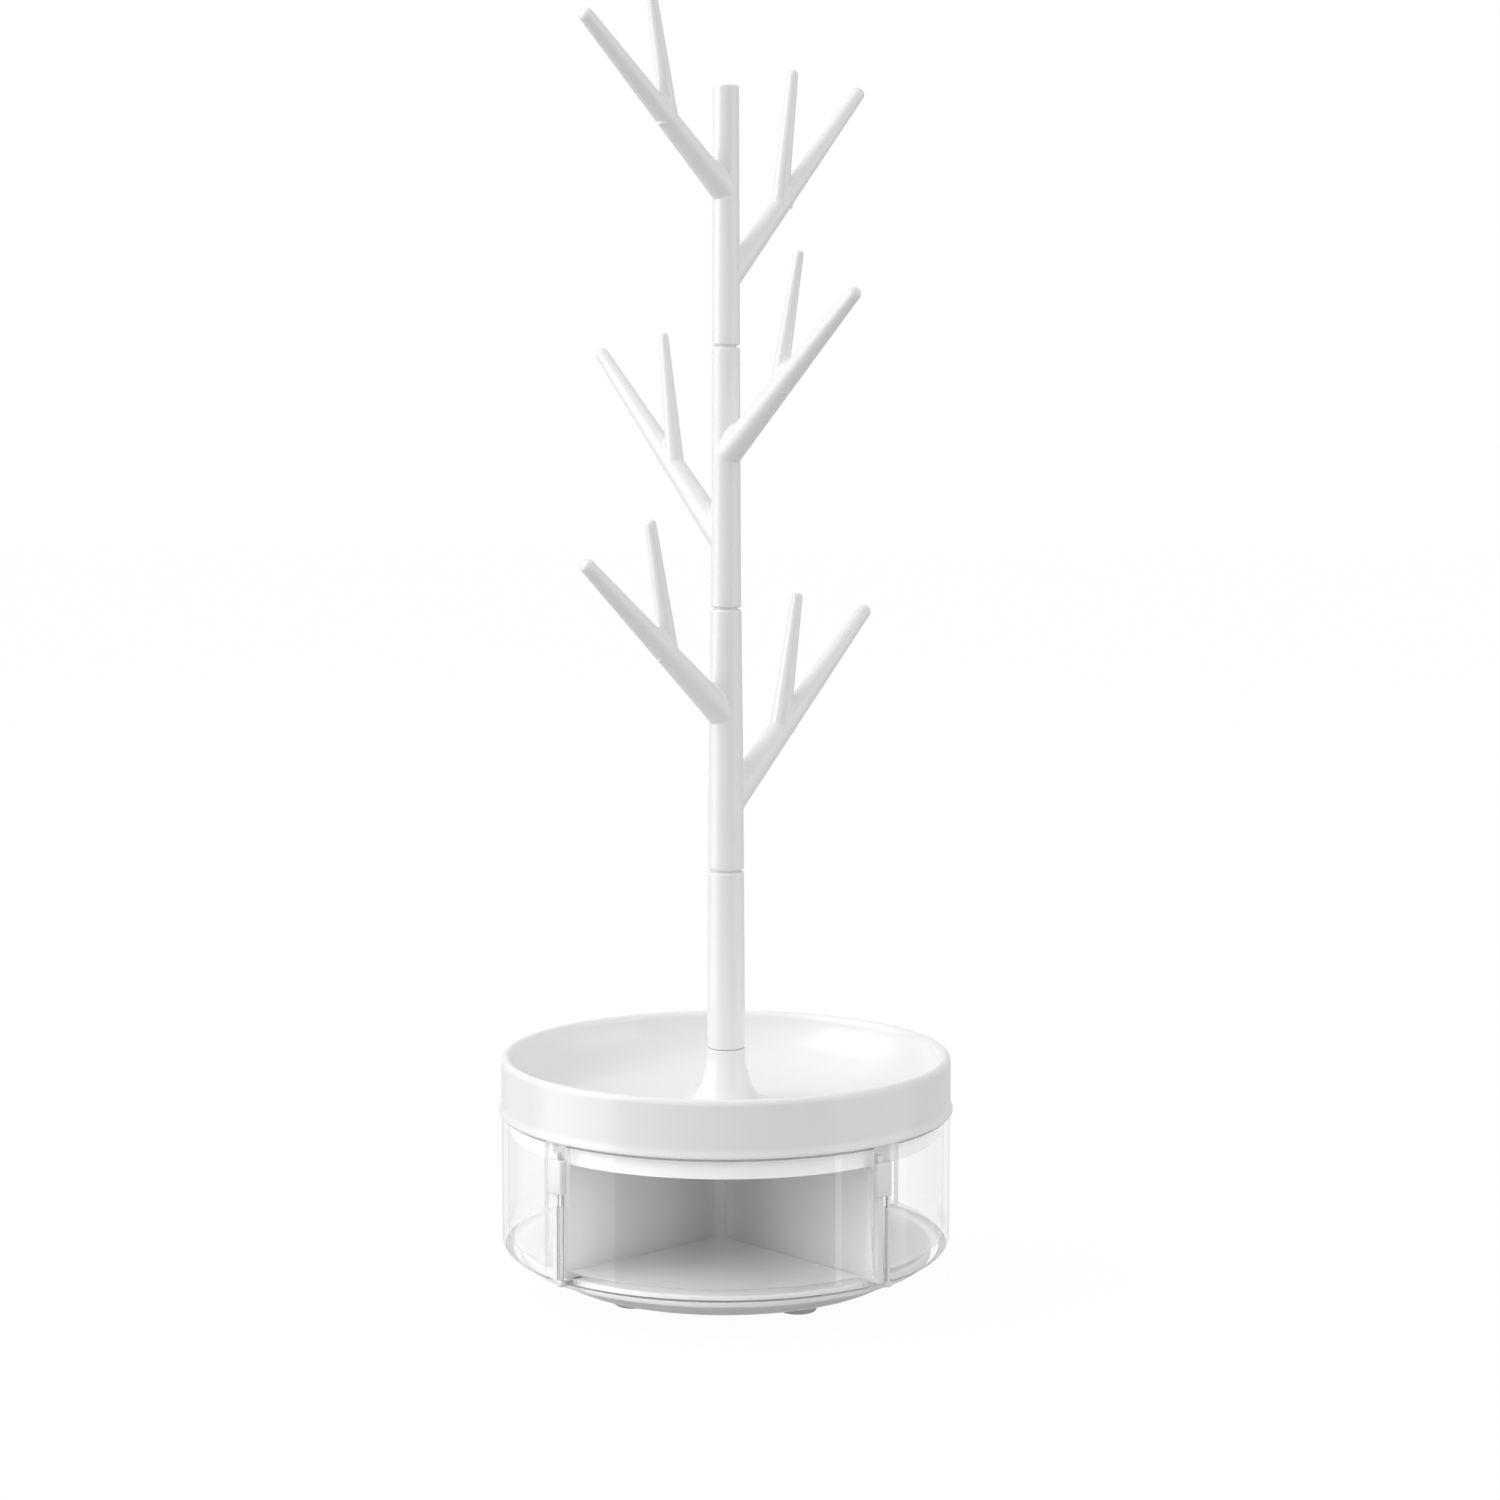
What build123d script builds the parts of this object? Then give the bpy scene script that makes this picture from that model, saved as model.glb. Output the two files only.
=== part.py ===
from build123d import *
import os
from math import asin, cos, degrees, hypot, radians, sin, sqrt

os.makedirs("parts", exist_ok=True)

# Jewelry rack, millimetres, +Z up. The origin is on the table, on the axis that the drum turns about.
# The fins of the drum stand on the 45 degree planes and one drawer faces -Y.

# Pedestal
base_clear = 1.9
base_flat_radius = 38.0
base_slope_radius = 46.5
base_slope_height = 2.4
base_rim_radius = 53.0
base_height = 7.9
base_wall = 2.2
base_boss_radius = 13.5
pad_radius = 5.35
pad_circle = 36.7
pad_height = 4.3
pad_fit = 0.05
ball_radius = 2.5
ball_count = 12
race_radius = 36.0
race_wall = 6.0
race_groove = 1.4
ball_fit = 0.05

# Deck
deck_gap = 0.3
deck_thickness = 3.4
deck_plate = 2.2
deck_relief_inner = 24.0
deck_relief_outer = 43.5
deck_edge_gap = 1.4
hub_radius = 8.0
hub_fit = 0.06
washer_radius = 10.5
washer_thickness = 1.0
washer_fit = 0.1
washer_recess = 2.1
washer_clear = 0.5
screw_radius = 1.5
screw_length = 8.0
screw_head_radius = 3.0
screw_head_height = 1.1
screw_slot_length = 3.0
screw_slot_width = 0.7
screw_slot_depth = 0.6

# Cross
fin_thickness = 2.0
fin_height = 38.8
fin_setback = 1.4
fin_step_gap = 0.3
tenon_depth = 1.3
tenon_fit = 0.05
tenon_inner = 12.0
tenon_outer = 48.0
tenon_length = 8.0
cross_key_radius = 5.5
cross_key_height = 5.0

# Dish
dish_floor = 2.0
dish_lift = 0.6
dish_overhang = 0.2
dish_flare = 0.65
dish_flare_height = 2.2
dish_skirt = 16.25
dish_rim = 2.2
dish_corner = 13.0
collar_height = 5.7
collar_clear = 1.0
collar_wall = 1.6
stem_height = 16.2
stem_radius = 5.75
stem_profile = [(5.9, 12.1), (7.4, 6.1), (9.1, 3.1), (11.1, 1.0)]
stem_foot_radius = 14.5

# Hinges: a tab under the dish and an ear on the deck hold a pin in the end of each drawer's front
pin_radius = 0.6
bore_fit = 0.06
knuckle_radius = 1.35
knuckle_gap = 3.3
lug_radius = 1.1
lug_seat = 6.0
tab_height = 14.3
tab_overlap = 1.0
tab_reach = 2.6
tab_setback = 0.4
tab_thickness = 1.8
notch_width = 3.2
notch_depth = 1.3
hinge_clear = 0.45
ear_arm = 2.2
ear_thickness = 1.4
ear_root = 2.0

# Drawers
drawer_radius = 66.6
drawer_lean = 0.25
drawer_wall = 1.8
drawer_floor_gap = 0.3
drawer_floor = 2.0
drawer_rim_depth = 1.4
drawer_rim_width = 0.8
drawer_foot_reach = 3.3
drawer_corner = 4.0
drawer_inner_corner = 2.2
drawer_top_gap = 0.4
drawer_fin_gap = 0.45
drawer_free_gap = 2.4
drawer_side_wall = 1.5
drawer_nose = 4.3
gate_radius = 1.6
gate_circle = 28.7
gate_depth = 0.3

# Trunk
section_length = 78.05
post_length = 52.5
spigot_side = 4.6
spigot_length = 8.0
spigot_fit = 0.05
spigot_end_gap = 0.2
seam_chamfer = 0.25
trunk_profile = [
    (5.65, 70.8), (5.6, 85.0), (5.4, 123.6), (5.25, 144.0), (5.1, 162.0),
    (4.75, 192.0), (4.6, 202.04), (4.45, 216.0), (4.2, 280.48), (3.9, 358.92),
]

# Each tier: azimuth, then root and tip of the branch as (radius, height from the tier's top),
# its root and tip diameters, and the same four values for the twig.
tier_branches = {
    "tier_top": [
        (225, (0, -32.6), (54.5, 16.1), 7.7, 4.1, (22.4, -12.6), (29.6, 25.9), 4.6, 2.8),
        (45, (0, -59.4), (55.5, 1.8), 6.4, 3.7, (22.3, -34.8), (27.8, 5.3), 4.3, 2.9),
    ],
    "tier_middle": [
        (315, (0, -32.6), (55.0, 14.2), 8.2, 3.5, (23.0, -13.0), (32.3, 26.0), 4.0, 2.0),
        (135, (0, -59.4), (58.3, -1.1), 7.4, 3.4, (23.2, -36.2), (28.7, 3.7), 4.9, 2.4),
    ],
    "tier_lower": [
        (225, (0, -32.6), (53.6, 14.1), 9.3, 4.1, (22.4, -13.1), (29.9, 25.8), 4.7, 2.9),
        (45, (0, -59.4), (58.6, -2.6), 8.4, 4.1, (22.4, -37.7), (29.7, 2.3), 5.3, 3.0),
    ],
}

# Heights that follow from the sizes above
base_top = base_clear + base_height
deck_bottom = base_top + deck_gap
deck_top = deck_bottom + deck_thickness
deck_plate_bottom = deck_top - deck_plate
dish_underside = deck_top + fin_height
dish_floor_top = dish_underside + dish_floor
dish_bottom = dish_underside + dish_lift
dish_top = dish_bottom + dish_skirt
stem_top = dish_floor_top + stem_height
collar_bottom = dish_underside - collar_height
tab_bottom = dish_underside - tab_height
tab_top = collar_bottom + tab_overlap
ear_bottom = deck_top - ear_thickness
drawer_floor_bottom = deck_top + drawer_floor_gap
drawer_floor_top = drawer_floor_bottom + drawer_floor
drawer_bottom = drawer_floor_bottom - drawer_rim_depth
drawer_top = dish_bottom - drawer_top_gap
drawer_side_top = collar_bottom - drawer_top_gap
knuckle_top = tab_bottom - knuckle_gap
ball_height = deck_plate_bottom - ball_fit - ball_radius
race_top = ball_height - ball_radius - ball_fit + race_groove
hub_bottom = base_clear + washer_recess
post_base_top = stem_top + post_length
tier_tops = {
    "tier_lower": post_base_top + section_length,
    "tier_middle": post_base_top + 2 * section_length,
    "tier_top": post_base_top + 3 * section_length,
}

# Radii that follow from the front of the drawers
drawer_low_radius = drawer_radius - drawer_lean
drawer_foot_radius = drawer_low_radius - drawer_foot_reach
drawer_rim_inner = drawer_foot_radius - drawer_rim_width
deck_radius = drawer_rim_inner - deck_edge_gap
fin_radius = drawer_radius - fin_setback
collar_outer = drawer_radius - drawer_wall - collar_clear
fin_step_radius = collar_outer - collar_wall - fin_step_gap
dish_radius = drawer_radius + dish_overhang
tab_outer = drawer_radius - tab_setback
tab_inner = tab_outer - tab_thickness
web_length = tab_inner + tab_thickness / 2 - collar_outer + collar_wall

# Insets of the drawer's sides from the 45 degree planes, and the hinge beside one of them.
# The drawer that faces -Y has its hinge on its left, by the fin at 225 degrees.
hinged_inset = fin_thickness / 2 + drawer_fin_gap
free_inset = fin_thickness / 2 + drawer_free_gap
hinge_radius = drawer_radius - knuckle_radius
hinge_inset = hinged_inset + knuckle_radius
hinge_azimuth = 225 + degrees(asin(hinge_inset / hinge_radius))
hinge_x = hinge_radius * cos(radians(hinge_azimuth))
hinge_y = hinge_radius * sin(radians(hinge_azimuth))


# Pedestal: a saucer with a ball track, a bearing boss and pockets for the pads
with BuildPart() as turntable_base:
    with BuildSketch(Plane.XZ):
        with BuildLine():
            Polyline(
                (0, base_clear),
                (base_flat_radius, base_clear),
                (base_slope_radius, base_clear + base_slope_height),
            )
            ThreePointArc(
                (base_slope_radius, base_clear + base_slope_height),
                (
                    base_rim_radius - 0.32 * (base_rim_radius - base_slope_radius),
                    base_clear + base_slope_height + 0.38 * (base_height - base_slope_height),
                ),
                (base_rim_radius, base_top),
            )
            Polyline((base_rim_radius, base_top), (0, base_top), (0, base_clear))
        make_face()
    revolve(axis=Axis.Z)
    # hollow between the boss and the track
    with BuildSketch(Plane.XY.offset(base_clear + base_wall)):
        Circle(race_radius - race_wall)
        Circle(base_boss_radius, mode=Mode.SUBTRACT)
    extrude(amount=base_height, mode=Mode.SUBTRACT)
    # the track stands lower than the rim
    with BuildSketch(Plane.XY.offset(race_top)):
        Circle(race_radius + race_wall)
        Circle(race_radius - race_wall, mode=Mode.SUBTRACT)
    extrude(amount=base_height, mode=Mode.SUBTRACT)
    with BuildSketch(Plane.XZ):
        with Locations((race_radius, ball_height)):
            Circle(ball_radius + ball_fit)
    revolve(axis=Axis.Z, mode=Mode.SUBTRACT)
    # bearing bore, and the recess for the washer below it
    Hole(hub_radius + hub_fit)
    with BuildSketch(Plane.XY.offset(base_clear)):
        Circle(washer_radius + washer_clear)
    extrude(amount=washer_recess + washer_fit, mode=Mode.SUBTRACT)
    with PolarLocations(pad_circle, 4, start_angle=45):
        with Locations((0, 0, base_clear)):
            Cylinder(
                pad_radius + pad_fit,
                pad_height - base_clear,
                align=(Align.CENTER, Align.CENTER, Align.MIN),
                mode=Mode.SUBTRACT,
            )
turntable_base.part.label = "turntable_base"
export_step(turntable_base.part, "parts/turntable_base.step")


# Foot pads, pressed up against the roofs of their pockets
with BuildPart() as foot_pads:
    with BuildSketch():
        with PolarLocations(pad_circle, 4, start_angle=45):
            Circle(pad_radius)
    extrude(amount=pad_height)
    chamfer(foot_pads.edges().filter_by(GeomType.CIRCLE).group_by(Axis.Z)[0], 0.4)
foot_pads.part.label = "foot_pads"
export_step(foot_pads.part, "parts/foot_pads.step")


# Balls in the track
with BuildPart() as bearing_balls:
    with BuildSketch(Plane.XZ):
        with BuildLine():
            Line((race_radius, ball_height - ball_radius), (race_radius, ball_height + ball_radius))
            ThreePointArc(
                (race_radius, ball_height + ball_radius),
                (race_radius + ball_radius, ball_height),
                (race_radius, ball_height - ball_radius),
            )
        make_face()
    revolve(axis=Axis((race_radius, 0, 0), (0, 0, 1)))
    first_ball = bearing_balls.solids()[0]
ball_ring = [first_ball.rotate(Axis.Z, 360 / ball_count * i) for i in range(ball_count)]
with BuildPart() as bearing_balls:
    add(ball_ring)
bearing_balls.part.label = "bearing_balls"
export_step(bearing_balls.part, "parts/bearing_balls.step")


# Deck with its hub, relief over the balls, hinge ears and slots for the fins
with BuildPart() as turntable_deck:
    with BuildSketch(Plane.XY.offset(deck_bottom)):
        Circle(deck_radius)
    extrude(amount=deck_thickness)
    with BuildSketch(Plane.XY.offset(ear_bottom)):
        with PolarLocations(hinge_radius, 4, start_angle=hinge_azimuth):
            Circle(lug_radius)
            Rectangle(hinge_radius - deck_radius + ear_root, ear_arm, align=(Align.MAX, Align.CENTER))
    extrude(amount=ear_thickness)
    with BuildSketch(Plane.XY.offset(deck_bottom)):
        Circle(deck_relief_outer)
        Circle(deck_relief_inner, mode=Mode.SUBTRACT)
    extrude(amount=deck_thickness - deck_plate, mode=Mode.SUBTRACT)
    with BuildSketch(Plane.XY.offset(hub_bottom)):
        Circle(hub_radius)
    extrude(amount=deck_bottom - hub_bottom)
    with BuildSketch(Plane.XY.offset(hub_bottom)):
        Circle(screw_radius)
    extrude(amount=screw_length - washer_thickness + spigot_end_gap, mode=Mode.SUBTRACT)
    with BuildSketch(Plane.XY.offset(ear_bottom)):
        with PolarLocations(hinge_radius, 4, start_angle=hinge_azimuth):
            Circle(pin_radius)
    extrude(amount=ear_thickness, mode=Mode.SUBTRACT)
    with BuildSketch(Plane.XY.offset(deck_top)):
        for tenon_start in (tenon_inner, tenon_outer):
            with PolarLocations(tenon_start + tenon_length / 2, 4, start_angle=45):
                Rectangle(tenon_length + 2 * tenon_fit, fin_thickness + 2 * tenon_fit)
    extrude(amount=-tenon_depth - tenon_fit, mode=Mode.SUBTRACT)
turntable_deck.part.label = "turntable_deck"
export_step(turntable_deck.part, "parts/turntable_deck.step")


# Washer and screw that hold the hub in the pedestal
with BuildPart() as pivot_washer:
    with BuildSketch(Plane.XY.offset(hub_bottom - washer_thickness)):
        Circle(washer_radius)
        Circle(screw_radius + spigot_fit, mode=Mode.SUBTRACT)
    extrude(amount=washer_thickness)
pivot_washer.part.label = "pivot_washer"
export_step(pivot_washer.part, "parts/pivot_washer.step")

with BuildPart() as pivot_screw:
    with BuildSketch(Plane.XY.offset(hub_bottom - washer_thickness)):
        Circle(screw_head_radius)
    extrude(amount=-screw_head_height)
    fillet(pivot_screw.edges().group_by(Axis.Z)[0], 0.7)
    with BuildSketch(Plane.XY.offset(hub_bottom - washer_thickness)):
        Circle(screw_radius)
    extrude(amount=screw_length)
    with BuildSketch(Plane.XY.offset(hub_bottom - washer_thickness - screw_head_height)):
        Rectangle(screw_slot_length, screw_slot_width)
        Rectangle(screw_slot_width, screw_slot_length)
    extrude(amount=screw_slot_depth, mode=Mode.SUBTRACT)
pivot_screw.part.label = "pivot_screw"
export_step(pivot_screw.part, "parts/pivot_screw.step")


# Cross of four fins, stepped back at the top to clear the tabs and the collar of the dish
fin_outline = [
    (fin_radius, deck_top),
    (fin_radius, tab_bottom - fin_step_gap),
    (fin_step_radius, tab_bottom - fin_step_gap),
    (fin_step_radius, dish_underside),
    (cross_key_radius, dish_underside),
    (cross_key_radius, dish_underside + cross_key_height),
]
with BuildPart() as partition_cross:
    for fin_angle in (45, 135):
        fin_plane = Plane((0, 0, 0), x_dir=(1, 0, 0), z_dir=(0, -1, 0)).rotated((0, 0, fin_angle))
        with BuildSketch(fin_plane):
            with BuildLine():
                Polyline(*fin_outline, *[(-x, z) for x, z in fin_outline[::-1]], fin_outline[0])
            make_face()
        extrude(amount=fin_thickness / 2, both=True)
    with BuildSketch(Plane.XY.offset(deck_top)):
        for tenon_start in (tenon_inner, tenon_outer):
            with PolarLocations(tenon_start + tenon_length / 2, 4, start_angle=45):
                Rectangle(tenon_length, fin_thickness)
    extrude(amount=-tenon_depth)
partition_cross.part.label = "partition_cross"
export_step(partition_cross.part, "parts/partition_cross.step")


# Dish: rim, bowl, flared skirt and the stem that takes the trunk
with BuildPart() as dish_tray:
    with BuildSketch(Plane.XZ):
        with BuildLine():
            Polyline(
                (0, dish_underside),
                (collar_outer, dish_underside),
                (collar_outer, dish_bottom),
                (dish_radius + dish_flare, dish_bottom),
            )
            Spline(
                (dish_radius + dish_flare, dish_bottom),
                (dish_radius, dish_bottom + dish_flare_height),
                tangents=((0, 1), (0, 1)),
            )
            Line((dish_radius, dish_bottom + dish_flare_height), (dish_radius, dish_top - dish_rim / 2))
            ThreePointArc(
                (dish_radius, dish_top - dish_rim / 2),
                (dish_radius - dish_rim / 2, dish_top),
                (dish_radius - dish_rim, dish_top - dish_rim / 2),
            )
            Line(
                (dish_radius - dish_rim, dish_top - dish_rim / 2),
                (dish_radius - dish_rim, dish_floor_top + dish_corner),
            )
            RadiusArc(
                (dish_radius - dish_rim, dish_floor_top + dish_corner),
                (dish_radius - dish_rim - dish_corner, dish_floor_top),
                dish_corner,
            )
            Line(
                (dish_radius - dish_rim - dish_corner, dish_floor_top),
                (stem_foot_radius, dish_floor_top),
            )
            Spline(
                (stem_foot_radius, dish_floor_top),
                *[(radius, dish_floor_top + height) for radius, height in stem_profile[::-1]],
                (stem_radius, stem_top - 0.6),
                tangents=((-1, 0), (0, 1)),
            )
            Polyline(
                (stem_radius, stem_top - 0.6),
                (stem_radius - seam_chamfer, stem_top),
                (0, stem_top),
                (0, dish_underside),
            )
        make_face()
    revolve(axis=Axis.Z)
    # collar inside the drawer walls
    with BuildSketch(Plane.XY.offset(collar_bottom)):
        Circle(collar_outer)
        Circle(collar_outer - collar_wall, mode=Mode.SUBTRACT)
    extrude(amount=dish_underside - collar_bottom)
    # a tab hangs in each gap between two drawers, in line with their fronts: it runs into a lug
    # for the pin and a web in line with the fin ties it to the collar
    with BuildSketch(Plane.XY.offset(tab_bottom)):
        with PolarLocations(drawer_radius, 4, start_angle=45):
            with Locations((0, (hinge_inset - tab_reach) / 2)):
                Rectangle(4 * tab_thickness, hinge_inset + tab_reach)
        Circle(tab_outer, mode=Mode.INTERSECT)
        Circle(tab_inner, mode=Mode.SUBTRACT)
        with PolarLocations(collar_outer - collar_wall, 4, start_angle=45):
            Rectangle(web_length, fin_thickness, align=(Align.MIN, Align.CENTER))
        with PolarLocations(hinge_radius, 4, start_angle=hinge_azimuth):
            Circle(lug_radius)
    extrude(amount=tab_top - tab_bottom)
    with BuildSketch(Plane.XY.offset(tab_bottom)):
        with PolarLocations(hinge_radius, 4, start_angle=hinge_azimuth):
            Circle(pin_radius)
    extrude(amount=lug_seat, mode=Mode.SUBTRACT)
    # socket for the trunk, and the cross-shaped seat on the fins
    with BuildSketch(Plane.XY.offset(stem_top)):
        Rectangle(spigot_side + 2 * spigot_fit, spigot_side + 2 * spigot_fit)
    extrude(amount=-spigot_length - spigot_end_gap, mode=Mode.SUBTRACT)
    with BuildSketch(Plane.XY.offset(dish_underside)):
        with PolarLocations(0, 2, start_angle=45, angular_range=180):
            Rectangle(2 * (cross_key_radius + tenon_fit), fin_thickness + 2 * tenon_fit)
    extrude(amount=cross_key_height + tenon_fit, mode=Mode.SUBTRACT)
dish_tray.part.label = "dish_tray"
export_step(dish_tray.part, "parts/dish_tray.step")


# Hinge pin, from the deck's ear through the drawer's knuckle into the dish's lug
with BuildPart() as hinge_pin:
    with BuildSketch(Plane.XY.offset(ear_bottom)):
        with Locations((hinge_x, hinge_y)):
            Circle(pin_radius)
    extrude(amount=tab_bottom + lug_seat - ear_bottom)
for pin_number in range(4):
    with BuildPart() as hinge_pin_copy:
        add(hinge_pin.part, rotation=(0, 0, 90 * pin_number))
    hinge_pin_copy.part.label = f"hinge_pin_{pin_number + 1}"
    export_step(hinge_pin_copy.part, f"parts/hinge_pin_{pin_number + 1}.step")


# Drawer: a quarter wedge of the drum with a curved front, made facing -Y
def wedge_corners(hinged, free, nose, reach):
    """Plan of the wedge between its two sides, at these insets from the 45 degree planes."""
    left, right = hinged * sqrt(2), free * sqrt(2)
    return [(left - nose, -nose), (nose - right, -nose), (reach - right, -reach), (left - reach, -reach)]


with BuildPart() as drawer_wedge:
    # body of revolution: the front leans out a little and rolls under
    with BuildSketch(Plane.XZ):
        with BuildLine():
            Polyline(
                (0, drawer_floor_bottom),
                (drawer_rim_inner, drawer_floor_bottom),
                (drawer_rim_inner, drawer_bottom),
                (drawer_foot_radius, drawer_bottom),
            )
            TangentArc(
                (drawer_foot_radius, drawer_bottom),
                (drawer_low_radius, drawer_bottom + drawer_corner),
                tangent=(1, 0),
            )
            Polyline(
                (drawer_low_radius, drawer_bottom + drawer_corner),
                (drawer_radius, drawer_top),
                (0, drawer_top),
                (0, drawer_floor_bottom),
            )
        make_face()
    revolve(axis=Axis.Z)
    # keep the wedge between the fins, cut short by the axis
    with BuildSketch(Plane.XY):
        Polygon(*wedge_corners(hinged_inset, free_inset, drawer_nose, 2 * drawer_radius), align=None)
    extrude(amount=drawer_top + 1, mode=Mode.INTERSECT)
    # the side walls are lower than the front
    with BuildSketch(Plane.XY.offset(drawer_side_top)):
        Circle(drawer_low_radius - drawer_wall)
    extrude(amount=drawer_top, mode=Mode.SUBTRACT)

# Hollow of the drawer, taken out of the solid wedge
with BuildPart() as drawer_hollow:
    with BuildSketch(Plane.XZ):
        with BuildLine():
            inner_low = drawer_low_radius - drawer_wall
            inner_top = drawer_radius - drawer_wall
            inner_rise = drawer_floor_top + drawer_inner_corner
            Line((0, drawer_floor_top), (inner_low - drawer_inner_corner, drawer_floor_top))
            TangentArc(
                (inner_low - drawer_inner_corner, drawer_floor_top),
                (inner_low, inner_rise),
                tangent=(1, 0),
            )
            Polyline(
                (inner_low, inner_rise),
                (inner_top, drawer_top),
                (inner_top, drawer_top + 2),
                (0, drawer_top + 2),
                (0, drawer_floor_top),
            )
        make_face()
    revolve(axis=Axis.Z)
    with BuildSketch(Plane.XY):
        Polygon(
            *wedge_corners(
                hinged_inset + drawer_side_wall,
                free_inset + drawer_side_wall,
                drawer_nose + drawer_side_wall,
                2 * drawer_radius,
            ),
            align=None,
        )
    extrude(amount=2 * drawer_top, mode=Mode.INTERSECT)

# At the hinge, x runs out from the axis along the fin and y runs away from the fin
hinge_plane = Plane((hinge_x, hinge_y, 0), x_dir=(cos(radians(225)), sin(radians(225)), 0), z_dir=(0, 0, 1))
with BuildPart() as drawer:
    add(drawer_wedge.part)
    add(drawer_hollow.part, mode=Mode.SUBTRACT)
    # the hinged end is rounded about the pin, so that it turns clear of the fin and the tab
    with BuildSketch(hinge_plane):
        Rectangle(4 * knuckle_radius, 2 * knuckle_radius, align=(Align.MIN, Align.MAX))
        Circle(knuckle_radius, mode=Mode.SUBTRACT)
    extrude(amount=drawer_top + 1, mode=Mode.SUBTRACT)
    # notch for the lug above the knuckle
    with BuildSketch(hinge_plane.offset(knuckle_top)):
        Circle(lug_radius + hinge_clear)
        with Locations((-notch_depth, 0)):
            Rectangle(6 * knuckle_radius, 2 * notch_width, align=(Align.MIN, Align.CENTER))
    extrude(amount=drawer_top, mode=Mode.SUBTRACT)
    # notch for the deck's ear and its arm under the knuckle
    with BuildSketch(hinge_plane.offset(drawer_floor_bottom)):
        Circle(lug_radius + hinge_clear)
        Rectangle(6 * knuckle_radius, ear_arm + 2 * hinge_clear, align=(Align.MAX, Align.CENTER))
        Rectangle(4 * knuckle_radius, 2 * (lug_radius + hinge_clear), align=(Align.MIN, Align.CENTER))
    extrude(amount=-drawer_floor_bottom, mode=Mode.SUBTRACT)
    # knuckle with its bore
    with BuildSketch(hinge_plane.offset(drawer_floor_bottom)):
        Circle(knuckle_radius)
    extrude(amount=knuckle_top - drawer_floor_bottom)
    with BuildSketch(hinge_plane.offset(drawer_floor_bottom)):
        Circle(pin_radius + bore_fit)
    extrude(amount=knuckle_top - drawer_floor_bottom, mode=Mode.SUBTRACT)
    # small gate mark on the floor
    with BuildSketch(Plane.XY.offset(drawer_floor_top)):
        with Locations((0, -gate_circle)):
            Circle(gate_radius)
    extrude(amount=-gate_depth, mode=Mode.SUBTRACT)
for drawer_number in range(4):
    with BuildPart() as drawer_copy:
        add(drawer.part, rotation=(0, 0, 90 * drawer_number))
    drawer_copy.part.label = f"drawer_{drawer_number + 1}"
    export_step(drawer_copy.part, f"parts/drawer_{drawer_number + 1}.step")


def trunk_radius(height):
    """Radius of the trunk at a height, by straight lines between the points of its profile."""
    for (low_radius, low), (high_radius, high) in zip(trunk_profile, trunk_profile[1:]):
        if height <= high:
            share = (height - low) / (high - low)
            return low_radius + share * (high_radius - low_radius)
    return trunk_profile[-1][0]


def trunk_points(bottom, top):
    """Half outline of a length of the trunk, with its ends chamfered for the seams."""
    points = [(0, bottom), (trunk_radius(bottom) - seam_chamfer, bottom)]
    points.append((trunk_radius(bottom), bottom + seam_chamfer))
    for radius, height in trunk_profile:
        if bottom + 1 < height < top - 1:
            points.append((radius, height))
    points.append((trunk_radius(top), top - seam_chamfer))
    points += [(trunk_radius(top) - seam_chamfer, top), (0, top), (0, bottom)]
    return points


# Bare post at the foot of the trunk
with BuildPart() as trunk_post:
    with BuildSketch(Plane.XZ):
        with BuildLine():
            Polyline(*trunk_points(stem_top, post_base_top))
        make_face()
    revolve(axis=Axis.Z)
    with BuildSketch(Plane.XY.offset(stem_top)):
        Rectangle(spigot_side, spigot_side)
    extrude(amount=-spigot_length)
    with BuildSketch(Plane.XY.offset(post_base_top)):
        Rectangle(spigot_side + 2 * spigot_fit, spigot_side + 2 * spigot_fit)
    extrude(amount=-spigot_length - spigot_end_gap, mode=Mode.SUBTRACT)
trunk_post.part.label = "trunk_post"
export_step(trunk_post.part, "parts/trunk_post.step")


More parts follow.
